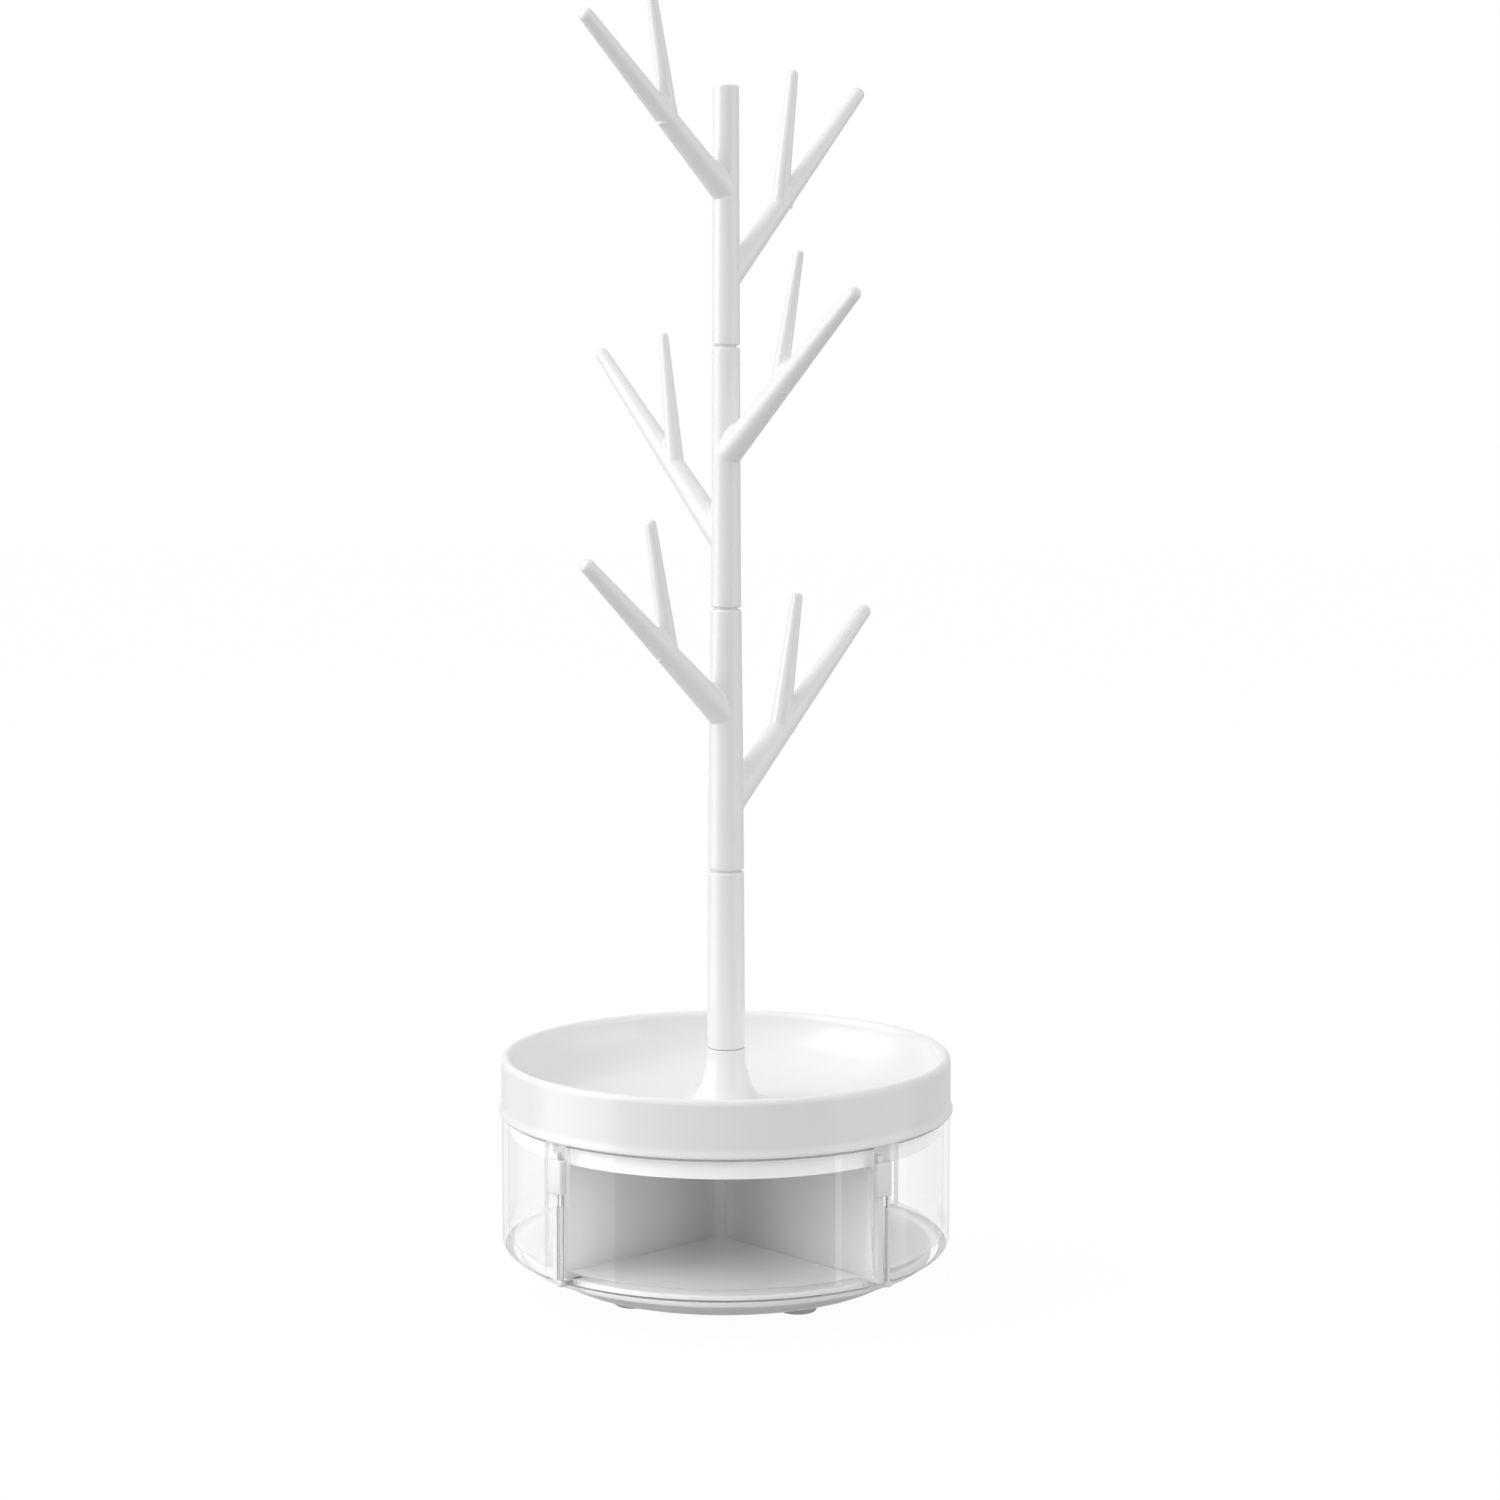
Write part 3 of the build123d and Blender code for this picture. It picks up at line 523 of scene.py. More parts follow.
trunk = {
    "profile": [(5.65, 70.5), (5.6, 85.0), (5.4, 123.0), (5.25, 143.2), (5.1, 161.2),
                (4.75, 191.0), (4.6, 201.05), (4.45, 215.0), (4.2, 279.1), (3.9, 357.15)],
    "foot": 70.5, "postTop": 123.0, "slot": 0.6, "footSlot": 0.12, "neck": 1.0, "easeDepth": 0.55,
    "easeHeight": 0.7, "spigot": 2.3, "spigotLength": 8.0,
}
tiers = {
    "tierTop": ("tier_top", 279.1, 357.15, [
        (225, ((0, -32.3), (55.2, 17.2), 7.9, 4.4),
         ((22.1, -12.6), (29.5, 25.9), 5.4, 3.1)),
        (45, ((0, -59.0), (56.2, 2.9), 7.1, 4.2),
         ((21.9, -34.8), (27.6, 6.8), 5.3, 3.2))]),
    "tierMiddle": ("tier_middle", 201.05, 279.1, [
        (315, ((0, -32.4), (55.8, 15.3), 8.5, 4.1),
         ((22.6, -13.0), (32.0, 27.5), 5.2, 2.6)),
        (135, ((0, -58.9), (58.9, 0.3), 8.3, 4.1),
         ((22.9, -36.0), (28.5, 5.0), 5.6, 2.8))]),
    "tierLower": ("tier_lower", 123.0, 201.05, [
        (225, ((0, -32.4), (54.8, 15.5), 8.9, 4.4),
         ((22.1, -13.1), (29.8, 27.2), 5.6, 3.3)),
        (45, ((0, -59.0), (59.0, -1.5), 9.2, 4.3),
         ((21.9, -37.5), (29.4, 3.9), 6.4, 3.3))]),
}


def trunkLength(bottom, top, slot):
    # radius read from the trunk's profile by height; each end is eased by a quarter ellipse,
    # r = r_end - e (1 - sin a), z = end + h (1 - cos a), and a slot with a narrower neck is left
    # under the lower one, so that two lengths meet in a dark ring
    radii, heights = np.array(trunk["profile"]).T
    e, h = trunk["easeDepth"], trunk["easeHeight"]
    z = np.linspace(bottom + slot + h, top - h, 60)
    r = np.interp(z, heights, radii)
    a = np.linspace(0, np.pi / 2, 7)[:-1]
    neck = r[0] - trunk["neck"]
    start = [(0, bottom), (neck, bottom), (neck, bottom + slot)]
    low = np.stack([r[0] - e * (1 - np.sin(a)), bottom + slot + h * (1 - np.cos(a))], -1)
    high = np.stack([r[-1] - e * (1 - np.sin(a)), top - h * (1 - np.cos(a))], -1)[::-1]
    return lathe(np.vstack([start, low, np.stack([r, z], -1), high, [(0, top)]]), 96)


# how far a limb flares into its parent in the narrow and the wide angle, over which length, and
# the blunt tip
crotch = {
    "acute": 1.3, "obtuse": 0.08, "acuteRun": 1.1, "obtuseRun": 0.4, "power": 6,
    "fade": (-30, 0.4), "flaredPart": 0.32, "tipFlat": 0.85, "tipPower": 0.75,
}


def limbLine(azimuth, start, end, top):
    side = np.array([np.cos(np.radians(azimuth)), np.sin(np.radians(azimuth)), 0])
    foot = side * start[0] + [0, 0, top + start[1]]
    tip = side * end[0] + [0, 0, top + end[1]]
    length = np.linalg.norm(tip - foot)
    return foot, (tip - foot) / length, length


def limb(line, startWidth, endWidth, parentPoint, parentAxis, parentRadius, steps=44):
    # a tapered rod with a blunt round tip that flares into its parent. Each line along the rod
    # leaves the parent where |(p - o) - ((p - o).u) u| = R, a quadratic in the distance s, and the
    # radius grows towards that point as f exp(-(s - exit) / w), f and w larger in the crotch
    foot, axis, length = line
    up = parentAxis - (parentAxis @ axis) * axis
    up /= np.linalg.norm(up)
    side = np.cross(axis, up)
    shoulder = length - endWidth / 2 * crotch["tipFlat"]
    flaredPart = crotch["flaredPart"]
    share = np.r_[np.linspace(0, flaredPart, 42), np.linspace(flaredPart, 1, 30)[1:]]
    s = share * shoulder
    r = startWidth / 2 + (endWidth - startWidth) / 2 * s / shoulder
    t = np.linspace(0, 2 * np.pi, steps, endpoint=False)
    radial = np.outer(np.cos(t), up) + np.outer(np.sin(t), side)
    start = foot + radial * startWidth / 2 - parentPoint
    across = axis - (axis @ parentAxis) * parentAxis
    off = start - np.outer(start @ parentAxis, parentAxis)
    a, b, c = across @ across, off @ across, (off**2).sum(1) - parentRadius**2
    leaves = (-b + np.sqrt(np.maximum(b**2 - a * c, 0))) / a
    crotchSide = 0.5 + 0.5 * np.cos(t)
    f = crotch["obtuse"] + (crotch["acute"] - crotch["obtuse"]) * crotchSide**crotch["power"]
    w = crotch["obtuseRun"] + (crotch["acuteRun"] - crotch["obtuseRun"]) * crotchSide
    flare = f * np.exp(np.clip(-(s[:, None] - leaves) / w, *crotch["fade"]))
    radius = r[:, None] + flare
    body = foot + s[:, None, None] * axis + radius[..., None] * radial
    a = np.linspace(0, np.pi / 2, 9)[1:-1]
    capRadius = endWidth / 2 * np.cos(a)**crotch["tipPower"]
    capAt = shoulder + (length - shoulder) * np.sin(a)
    cap = foot + capAt[:, None, None] * axis + capRadius[:, None, None] * radial
    grid = np.vstack([body, cap])
    rows = len(grid)
    verts = np.vstack([grid.reshape(-1, 3), foot, foot + length * axis])
    i, j = np.meshgrid(np.arange(rows - 1), np.arange(steps), indexing="ij")
    i, j = i.ravel(), j.ravel()
    k = (j + 1) % steps
    quads = np.stack([i * steps + j, i * steps + k, (i + 1) * steps + k, (i + 1) * steps + j], -1)
    j = np.arange(steps)
    k = (j + 1) % steps
    low, high, last = rows * steps, rows * steps + 1, (rows - 1) * steps
    fans = np.vstack([np.stack([np.full(steps, low), k, j], -1),
                      np.stack([np.full(steps, high), last + j, last + k], -1)])
    return verts, quads, fans


def branch(azimuth, main, fork, top):
    # a main limb on the trunk and the shorter one that forks from it
    radii, heights = np.array(trunk["profile"]).T
    start, end, wide, narrow = main
    line = limbLine(azimuth, start, end, top)
    upright = np.array([0, 0, 1.0])
    whole = limb(line, wide, narrow, np.zeros(3), upright,
                 np.interp(top + start[1], heights, radii))
    start, end, forkWide, forkNarrow = fork
    forkLine = limbLine(azimuth, start, end, top)
    along = (forkLine[0] - line[0]) @ line[1] / line[2]
    parentRadius = (wide + (narrow - wide) * along) / 2
    return [whole, limb(forkLine, forkWide, forkNarrow, line[0], line[1], parentRadius)]


def spigotUnder(height):
    # square peg under a length, inside the one below it
    side, low = trunk["spigot"], height - trunk["spigotLength"]
    xy = np.array([(-side, -side), (side, -side), (side, side), (-side, side)])
    verts = np.vstack([np.c_[xy, np.full(4, low)], np.c_[xy, np.full(4, height)]])
    quads = np.array([(0, 3, 2, 1), (4, 5, 6, 7), (0, 1, 5, 4), (1, 2, 6, 5), (2, 3, 7, 6),
                      (3, 0, 4, 7)])
    return verts, quads, np.zeros((0, 3), int)


postLength = trunkLength(trunk["foot"], trunk["postTop"], trunk["footSlot"])
post = toObject("trunkPost", joined([postLength, spigotUnder(trunk["foot"])]))
place(post, "drum", "white_plastic", glossWhite, "trunk_post")
for pieceName, (node, low, high, branches) in tiers.items():
    shells = [trunkLength(low, high, trunk["slot"]), spigotUnder(low)]
    for azimuth, main, fork in branches:
        shells += branch(azimuth, main, fork, high)
    tier = toObject(pieceName, joined(shells))
    place(tier, "drum", "white_plastic", glossWhite, node)
print("tree ready")

drawer = {
    "bottom": 12.4, "floorBottom": 13.8, "floorTop": 15.8, "rimInner": 62.25, "foot": 63.05,
    "low": 66.35, "top": 66.6, "corner": 4.0, "wall": 1.8, "height": 52.5, "hinged": 1.45,
    "free": 3.4, "sideWall": 1.5, "sideTop": 46.2, "nose": 4.3, "innerCorner": 2.2, "edge": 0.5,
    "innerEdge": 0.4, "round": 0.3, "underSpread": 0.2, "breakBack": 0.9, "arcEnds": 0.02,
    "floorMiddle": -38.0,
}


def onPlane(radius, inset, side):
    # where a circle about the axis meets the line inset from the 45 degree plane on that side
    angle = np.radians(45) - np.arcsin(inset / radius)
    return radius * np.array([side * np.sin(angle), -np.cos(angle)])


def sidePath(radius, breakRadius, inset, nose, side, ease, sideSteps, arcPoint):
    # from the nose out to the front: the low wall, then the tall end of the front and its corner
    near = np.array([side * (nose - inset * np.sqrt(2)), -nose])
    step, far = onPlane(breakRadius, inset, side), onPlane(radius, inset, side)
    u = np.linspace(0, 1, sideSteps)[:, None]
    low = (1 - u) * near + u * step
    corner = rounded([(*step, 0), (*far, ease), (*arcPoint, 0)], 4)[1:-1]
    return low, np.vstack([step[None], corner])


def contour(d, radius, breakRadius, spread, nose, ease, steps=52, sideSteps=14):
    # plan of the wedge at one level, drawn facing -Y: free side, front arc, hinged side.
    # Returns the outline and which of its points belong to the tall front
    hinged, free = d["hinged"] + spread, d["free"] + spread
    right = np.radians(45) - np.arcsin(free / radius)
    left = np.radians(45) - np.arcsin(hinged / radius)
    t = np.linspace(right - d["arcEnds"], -left + d["arcEnds"], steps)
    arc = np.stack([radius * np.sin(t), -radius * np.cos(t)], -1)
    lowRight, tallRight = sidePath(radius, breakRadius, free, nose, 1, ease, sideSteps, arc[0])
    lowLeft, tallLeft = sidePath(radius, breakRadius, hinged, nose, -1, ease, sideSteps, arc[-1])
    outline = np.vstack([lowRight, tallRight, arc, tallLeft[::-1], lowLeft[::-1]])
    tall = np.zeros(len(outline), bool)
    tall[sideSteps:len(outline) - sideSteps] = True
    return outline, tall


def drawerGrid(d):
    # rows of the closed skin: under the floor, round the foot, up the outside, over the edge,
    # down the inside and over the floor; each row is one plan contour with its own heights
    rise = d["height"] - d["bottom"] - d["corner"]
    under, edge, inEdge, soft = d["floorBottom"], d["edge"], d["innerEdge"], d["round"]
    wall, thick, rim = d["wall"], d["sideWall"], d["rimInner"]
    sideEdge, frontEdge = d["sideTop"] - soft, d["height"] - soft

    def frontRadius(z):
        return d["low"] + (d["top"] - d["low"]) * (z - d["bottom"] - d["corner"]) / rise

    def row(radius, spread, sideHeight, frontHeight, ease, breakAt=None):
        breakAt = radius - d["breakBack"] if breakAt is None else breakAt
        plan, tall = contour(d, radius, breakAt, spread, d["nose"] + spread, ease)
        return np.c_[plan, np.where(tall, frontHeight, sideHeight)]

    def softened(a):
        # distance in and distance down at an angle on the round of the top edge
        return soft * (1 - np.cos(a)), soft * (1 - np.sin(a))

    rows = [row(rim - soft, d["underSpread"], under, under, soft),
            row(rim, 0.0, under, under, soft), row(rim, 0.0, under, d["bottom"], soft)]
    for a in np.linspace(0, np.pi / 2, 9):
        radius = d["foot"] + (d["low"] - d["foot"]) * np.sin(a)
        z = d["bottom"] + d["corner"] * (1 - np.cos(a))
        rows.append(row(radius, 0.0, max(z, under), z, edge, rim - soft))
    for z in np.linspace(d["bottom"] + d["corner"], sideEdge, 10)[1:]:
        rows.append(row(frontRadius(z), 0.0, z, z, edge, frontRadius(z) - wall))
    # the low walls end here while the front goes on up, both with a small round on the edge
    for z in np.linspace(sideEdge, frontEdge, 4)[1:]:
        rows.append(row(frontRadius(z), 0.0, sideEdge, z, edge, frontRadius(z) - wall))
    for a in np.linspace(0, np.pi / 2, 4)[1:]:
        into, down = softened(a)
        rows.append(row(d["top"] - into, into, d["sideTop"] - down, d["height"] - down, edge,
                        d["top"] - wall))
    for a in np.linspace(np.pi / 2, 0, 4):
        into, down = softened(a)
        rows.append(row(d["top"] - wall + into, thick - into, d["sideTop"] - down,
                        d["height"] - down, inEdge))
    for z in np.linspace(frontEdge, sideEdge, 4)[1:]:
        rows.append(row(frontRadius(z) - wall, thick, sideEdge, z, inEdge))
    for z in np.linspace(sideEdge, d["floorTop"] + d["innerCorner"], 9)[1:]:
        rows.append(row(frontRadius(z) - wall, thick, z, z, inEdge))
    foot = frontRadius(d["floorTop"] + d["innerCorner"]) - wall
    for a in np.linspace(0, np.pi / 2, 7)[1:]:
        z = d["floorTop"] + d["innerCorner"] * (1 - np.sin(a))
        rows.append(row(foot - d["innerCorner"] * (1 - np.cos(a)), thick, z, z, inEdge))
    return np.array(rows)


def drawerSkin(d):
    grid = drawerGrid(d)
    rows, n, _ = grid.shape
    verts = grid.reshape(-1, 3)
    i, j = np.meshgrid(np.arange(rows - 1), np.arange(n), indexing="ij")
    i, j = i.ravel(), j.ravel()
    k = (j + 1) % n
    # the plan runs clockwise seen from above, so the quads are wound against it
    quads = np.stack([i * n + k, i * n + j, (i + 1) * n + j, (i + 1) * n + k], -1)
    fans = []
    j = np.arange(n)
    for level, ring in ((d["floorBottom"], 0), (d["floorTop"], (rows - 1) * n)):
        pole = len(verts)
        verts = np.vstack([verts, [[0, d["floorMiddle"], level]]])
        a, b = ring + j, ring + (j + 1) % n
        order = (np.full(n, pole), a, b) if ring == 0 else (np.full(n, pole), b, a)
        fans.append(np.stack(order, -1))
    return verts, quads, np.vstack(fans)


# the cuts about the pin, in millimetres: the block beyond the knuckle, the notch that clears the
# tab, the room for the lug, and the bore
cuts = {
    "low": 8.0, "boreLow": 5.0, "high": 60.0, "blockOut": 8.0, "blockAcross": 6.0, "reach": 9.0,
    "notchWidth": 3.2, "notchDepth": 1.3, "notchEase": 0.4, "footDepth": 9.0, "footEase": 0.2,
    "knuckleInset": 0.002, "knuckleGap": 0.01, "mergeGap": 0.01, "flatGap": 0.002,
}
hingeAt = np.append(pinAt, 0)


def column(radius, low, high, steps=48):
    shape = lathe([(0, low), (radius, low), (radius, high), (0, high)], steps)
    return toObject("tool", moved(shape, hingeAt))


def prism(plan, low, high):
    # upright block over a plan given in millimetres along the fin and across it from the pin,
    # counter-clockwise
    u, v = np.append(finOut, 0), np.append(finAcross, 0)
    plan = np.asarray(plan, float)
    floor = hingeAt + plan[:, :1] * u + plan[:, 1:] * v
    count = len(plan)
    verts = np.vstack([floor + [0, 0, low], floor + [0, 0, high]]) * mm
    j = np.arange(count)
    k = (j + 1) % count
    sides = np.stack([j, k, k + count, j + count], -1)
    ends = [j[::-1].tolist(), (j + count).tolist()]
    mesh = bpy.data.meshes.new("tool")
    mesh.from_pydata(verts.tolist(), [], sides.tolist() + ends)
    tool = bpy.data.objects.new("tool", mesh)
    bpy.context.scene.collection.objects.link(tool)
    return tool


def outwardNotch(halfWidth, depth, low, high, ease):
    # opening from this far behind the pin out through the front, its corners eased by a
    # quarter round
    a = np.radians(np.linspace(90, 180, 7))[:, None]
    corner = ease * np.hstack([np.cos(a), np.sin(a)])
    back = np.array([-depth + ease, halfWidth - ease]) + corner
    ends = [(cuts["reach"], -halfWidth), (cuts["reach"], halfWidth)]
    return prism(np.vstack([back, back[::-1] * [1, -1], ends]), low, high)


def cornerBlock(radius):
    # what lies beyond the pin towards the fin, outside the round of the knuckle
    a = np.radians(np.linspace(0, -90, 20))
    edge = np.stack([radius * np.cos(a), radius * np.sin(a)], -1)
    out, across = cuts["blockOut"], -cuts["blockAcross"]
    return prism(np.vstack([edge, [(0.0, across), (out, across), (out, 0.0)]]), cuts["low"],
                 cuts["high"])


def cutWith(target, tool, operation="DIFFERENCE"):
    step = target.modifiers.new(operation, "BOOLEAN")
    step.operation = operation
    step.solver = "MANIFOLD"
    step.object = tool
    deps = bpy.context.evaluated_depsgraph_get()
    result = bpy.data.meshes.new_from_object(target.evaluated_get(deps))
    target.modifiers.clear()
    target.data = result
    bpy.data.objects.remove(tool)


def cleaned(piece):
    # rows that meet are merged, and the faces that this leaves flat are dropped
    shape = bmesh.new()
    shape.from_mesh(piece.data)
    bmesh.ops.remove_doubles(shape, verts=shape.verts, dist=cuts["mergeGap"] * mm)
    bmesh.ops.dissolve_degenerate(shape, edges=shape.edges, dist=cuts["flatGap"] * mm)
    bmesh.ops.recalc_face_normals(shape, faces=shape.faces)
    shape.to_mesh(piece.data)
    shape.free()


def readVectors(items, name):
    values = np.zeros(len(items) * 3)
    items.foreach_get(name, values)
    return values.reshape(-1, 3)


drawerMesh = toObject("drawerDraft", drawerSkin(drawer))
cleaned(drawerMesh)
knuckleTop, lugRoom = hinge["knuckleTop"], hinge["lug"] + hinge["clear"]
floorBottom, cutGap = drawer["floorBottom"], cuts["knuckleGap"]
cutWith(drawerMesh, cornerBlock(hinge["knuckle"]))
cutWith(drawerMesh, outwardNotch(cuts["notchWidth"], cuts["notchDepth"], knuckleTop, cuts["high"],
                                 cuts["notchEase"]))
cutWith(drawerMesh, column(lugRoom, knuckleTop, cuts["high"]))
cutWith(drawerMesh, outwardNotch(lugRoom, cuts["footDepth"], cuts["low"], floorBottom,
                                 cuts["footEase"]))
cutWith(drawerMesh, column(hinge["knuckle"] - cuts["knuckleInset"], floorBottom + cutGap,
                           knuckleTop - cutGap, 64), "UNION")
cutWith(drawerMesh, column(hinge["bore"], cuts["boreLow"], cuts["high"], 32))
draft = drawerMesh.data
draft.polygons.foreach_set("use_smooth", np.ones(len(draft.polygons), bool))
draft.set_sharp_from_angle(angle=radians(sharpAngle))

# limits by which a face of the drawer is told apart: its place in millimetres, how far it faces
# up or down, and how far it faces the axis
marks = {
    "wallBack": 0.05, "endFacing": 0.6, "endTilt": 0.6, "boreRound": 0.1, "rimUp": 0.7,
    "rimDepth": 1.0, "paintedShadeUp": 0.2, "paintedShadeDepth": 0.35, "footHeight": 1.2, "footDown": -0.1,
    "footOut": 0.3, "flatUp": 0.95, "flatGap": 0.05, "curvedFacing": 0.97, "curvedTilt": 0.1,
}
centres, normals = readVectors(draft.polygons, "center") / mm, readVectors(draft.polygons, "normal")
height, up = centres[:, 2], normals[:, 2]
reach = np.hypot(centres[:, 0], centres[:, 1])
outward = (centres[:, :2] * normals[:, :2]).sum(1)
facing = np.abs(outward) / reach
inWall = reach > drawer["low"] - drawer["wall"] - marks["wallBack"]
lowDown = height < drawer["bottom"] + marks["footHeight"]
ends = (inWall & (facing < marks["endFacing"]) & (np.abs(up) < marks["endTilt"])
        & (height > drawer["floorBottom"]))
pinReach = np.hypot(centres[:, 0] - pinAt[0], centres[:, 1] - pinAt[1])
bore = pinReach < hinge["bore"] + marks["boreRound"]
rims = (up > marks["rimUp"]) & (height > drawer["sideTop"] - marks["rimDepth"])
# faces given painted shade: the top of the front wall, under the skirt's edge, and the rounded foot
# near the bottom
paintedShadeFaces = ((up > marks["paintedShadeUp"]) & (height > drawer["height"] - marks["paintedShadeDepth"])
        | inWall & lowDown & (up < marks["footDown"])
        | (reach > drawer["foot"] + marks["footOut"]) & lowDown)
flat = (up > marks["flatUp"]) & (np.abs(height - drawer["floorTop"]) < marks["flatGap"])
# painted shade on those faces, a painted highlight on the wall ends and rims, the floor finish on
# the flat floor, clear elsewhere
finishOf = np.select([paintedShadeFaces & ~bore, (ends & ~bore) | rims, flat], [3, 1, 2], 0).astype(np.int32)

# corners of the upright curved faces take the radial direction as their normal, which keeps the
# reflections in the wall even where the cuts have left long faces
draftPoints = readVectors(draft.vertices, "co")
loopVertex = np.zeros(len(draft.loops), np.int32)
draft.loops.foreach_get("vertex_index", loopVertex)
loopFace = np.repeat(np.arange(len(centres)), [len(p.loop_indices) for p in draft.polygons])
radial = draftPoints[loopVertex] * [1, 1, 0]
radial /= np.linalg.norm(radial, axis=1, keepdims=True)
curved = inWall & (facing > marks["curvedFacing"]) & (np.abs(up) < marks["curvedTilt"])
cornerNormals = np.where(curved[loopFace, None], radial * np.sign(outward)[loopFace, None],
                         readVectors(draft.corner_normals, "vector"))
for number in range(4):
    mesh = draft.copy()
    mesh.vertices.foreach_set("co", rotZ(draftPoints, 90 * number).ravel())
    mesh.update()
    mesh.normals_split_custom_set(rotZ(cornerNormals, 90 * number).tolist())
    clear = bpy.data.objects.new(f"clearDrawer{number + 1}", mesh)
    bpy.context.scene.collection.objects.link(clear)
    node = f"drawer_{number + 1}"
    place(clear, node, "clear_plastic", clearStyrene, node)
    for finish in (paintedHighlightEdge, clearFloor, paintedShadeEdge):
        mesh.materials.append(finish)
    mesh.polygons.foreach_set("material_index", finishOf)
bpy.data.objects.remove(drawerMesh)
print("drawers ready")

carried = {
    "partition_cross": glossWhite, "bearing_balls": pinSteel, "pivot_washer": pinSteel,
    "pivot_screw": pinSteel, "hinge_pin_1": pinSteel, "hinge_pin_2": pinSteel,
    "hinge_pin_3": pinSteel, "hinge_pin_4": pinSteel,
}
for node, finish in carried.items():
    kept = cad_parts[node]
    kept.data.materials.clear()
    kept.data.materials.append(finish)


def mathNode(tree, operation, *values):
    # each value is a number or the socket that it comes from
    node = tree.nodes.new("ShaderNodeMath")
    node.operation = operation
    for socket, value in zip(node.inputs, values):
        if isinstance(value, float):
            socket.default_value = value
        else:
            tree.links.new(value, socket)
    return node.outputs["Value"]


def mixedShader(tree, factor, first, second, output):
    mix = tree.nodes.new("ShaderNodeMixShader")
    tree.links.new(factor, mix.inputs["Fac"])
    tree.links.new(first, mix.inputs[1])
    tree.links.new(second, mix.inputs[2])
    tree.links.new(mix.outputs["Shader"], output.inputs["Surface"])


def whiteRays(tree):
    # 1 for what the camera sees, straight or through clear plastic, and less for the light that
    # comes back through clear plastic onto the white parts
    path = tree.nodes.new("ShaderNodeLightPath")
    bounced = mathNode(tree, "MINIMUM", path.outputs["Diffuse Depth"], 1.0)
    part = mathNode(tree, "MULTIPLY_ADD", bounced, studio["indoorLight"] - 1, 1.0)
    through = mathNode(tree, "MULTIPLY", path.outputs["Is Transmission Ray"], part)
    return mathNode(tree, "MAXIMUM", path.outputs["Is Camera Ray"], through)


studio = {
    "indoorLight": 0.55, "floorSize": 6.0, "floorColor": (0.5, 0.5, 0.5, 1), "floorRough": 0.9,
    "floorGloss": 0.1, "floorGlow": 0.93, "floorStrength": 1.04, "bounce": 0.03,
    "worldStrength": 0.72,
}
half = studio["floorSize"]
floorMesh = bpy.data.meshes.new("studioFloor")
floorMesh.from_pydata([(-half, -half, 0), (half, -half, 0), (half, half, 0), (-half, half, 0)],
                      [], [(0, 1, 2, 3)])
floor = bpy.data.objects.new("studioFloor", floorMesh)
bpy.context.scene.collection.objects.link(floor)
floor.visible_glossy = False
floorMaterial = bpy.data.materials.new("studioFloor")
floorMaterial.use_nodes = True
tree = floorMaterial.node_tree
surface = next(n for n in tree.nodes if n.type == "BSDF_PRINCIPLED")
surface.inputs["Base Color"].default_value = studio["floorColor"]
surface.inputs["Roughness"].default_value = studio["floorRough"]
surface.inputs["Specular IOR Level"].default_value = studio["floorGloss"]
glow = tree.nodes.new("ShaderNodeEmission")
glow.inputs["Strength"].default_value = studio["floorStrength"]
share = mathNode(tree, "MULTIPLY", whiteRays(tree), studio["floorGlow"] - studio["bounce"])
mixedShader(tree, mathNode(tree, "ADD", share, studio["bounce"]), surface.outputs["BSDF"],
            glow.outputs["Emission"], next(n for n in tree.nodes if n.type == "OUTPUT_MATERIAL"))
floorMesh.materials.append(floorMaterial)

world = bpy.data.worlds.new("studio")
bpy.context.scene.world = world
world.use_nodes = True
sky = world.node_tree
background = next(n for n in sky.nodes if n.type == "BACKGROUND")
background.inputs["Color"].default_value = (1, 1, 1, 1)
background.inputs["Strength"].default_value = studio["worldStrength"]
white = sky.nodes.new("ShaderNodeBackground")
white.inputs["Color"].default_value = (1, 1, 1, 1)
white.inputs["Strength"].default_value = 1.0
mixedShader(sky, whiteRays(sky), background.outputs["Background"], white.outputs["Background"],
            next(n for n in sky.nodes if n.type == "OUTPUT_WORLD"))

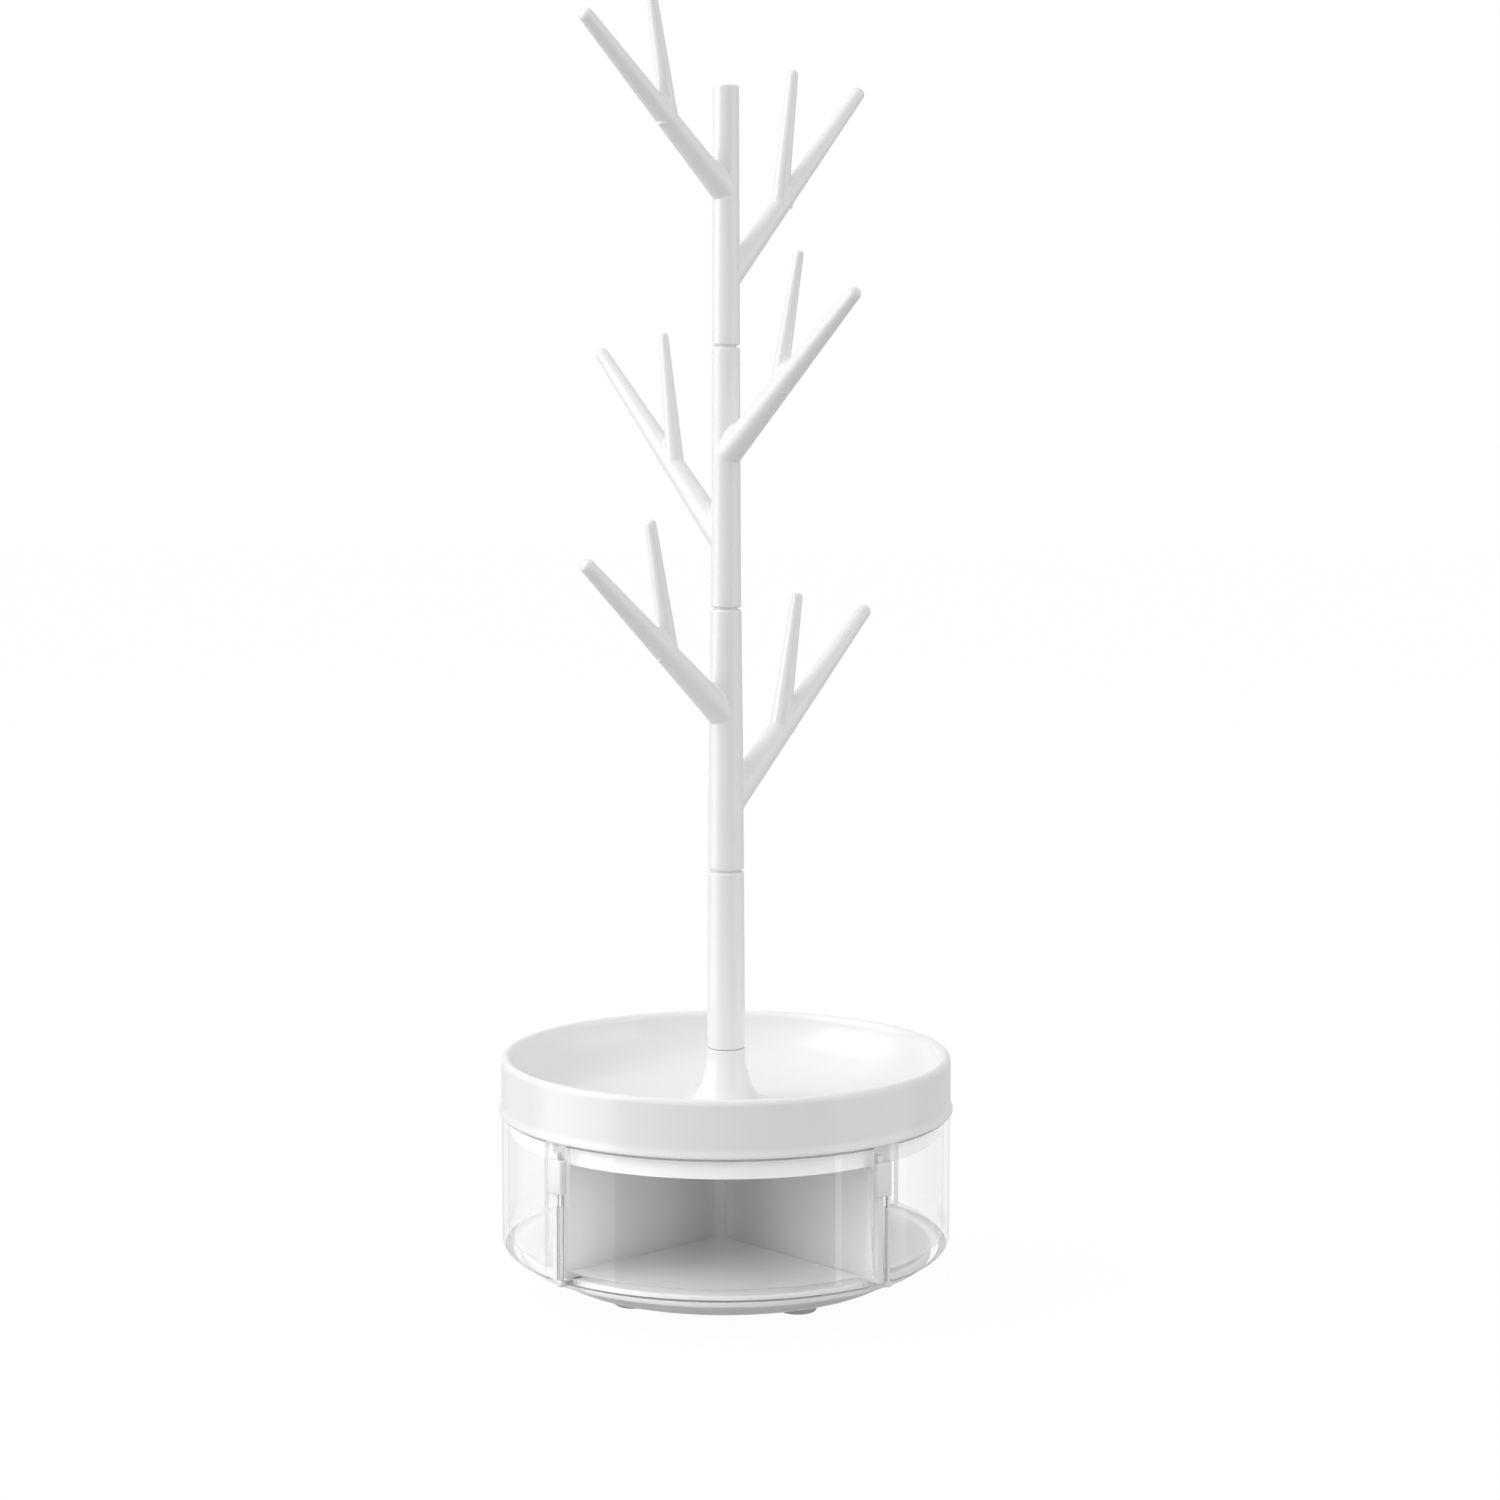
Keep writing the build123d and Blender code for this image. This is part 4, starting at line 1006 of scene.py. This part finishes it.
lamps = {
    "keyLeft": {"at": (-1.32, -0.3, 1.02), "size": (1.2, 1.2), "power": 12.5, "aim": 0.2},
    "softTop": {"at": (-0.1, 0.2, 2.0), "size": (1.8, 1.8), "power": 1.0, "aim": 0.15},
    "softFront": {"at": (-0.35, -1.9, 1.0), "size": (1.6, 1.0), "power": 1.0, "aim": 0.15},
    "fillRight": {"at": (1.3, -0.35, 1.0), "size": (1.2, 1.2), "power": 1.6, "aim": 0.2},
}
cards = {  # pale boards beside the object, seen only as reflections in the gloss
    "cardLeft": {"at": (-1.556, -0.373, 0.1), "size": (1.36, 1.7), "power": 16.5, "aim": 0.1},
    "cardRight": {"at": (1.588, -0.195, 0.1), "size": (1.36, 1.7), "power": 5.5, "aim": 0.1},
    "stripRight": {"at": (1.39, -0.8, 0.25), "size": (0.1, 1.7), "power": 1.6, "aim": 0.25},
}
for lampName, lamp in [*lamps.items(), *cards.items()]:
    data = bpy.data.lights.new(lampName, "AREA")
    data.shape = "RECTANGLE"
    data.size, data.size_y = lamp["size"]
    data.energy = lamp["power"]
    lampObject = bpy.data.objects.new(lampName, data)
    bpy.context.scene.collection.objects.link(lampObject)
    lampObject.location = lamp["at"]
    lampObject.visible_diffuse = lampName in lamps
    aim = np.array([0, 0, lamp["aim"]]) - np.array(lamp["at"])
    lampObject.rotation_euler = Vector(aim).to_track_quat("-Z", "Y").to_euler()

view = {
    "at": (46.6, -903.5, 252.1), "turn": 2.5, "lens": 72.85, "sensor": 36.0, "shiftY": -0.208,
    "near": 0.01,
}
cameraData = bpy.data.cameras.new("photoView")
cameraData.lens = view["lens"]
cameraData.sensor_width = view["sensor"]
cameraData.sensor_fit = "HORIZONTAL"
cameraData.shift_y = view["shiftY"]
cameraData.clip_start = view["near"]
camera = bpy.data.objects.new("photoView", cameraData)
camera.location = [c * mm for c in view["at"]]
camera.rotation_euler = (radians(90), 0, radians(view["turn"]))
bpy.context.scene.collection.objects.link(camera)
bpy.context.scene.camera = camera
bpy.context.scene.view_settings.view_transform = "Standard"
print("studio ready")
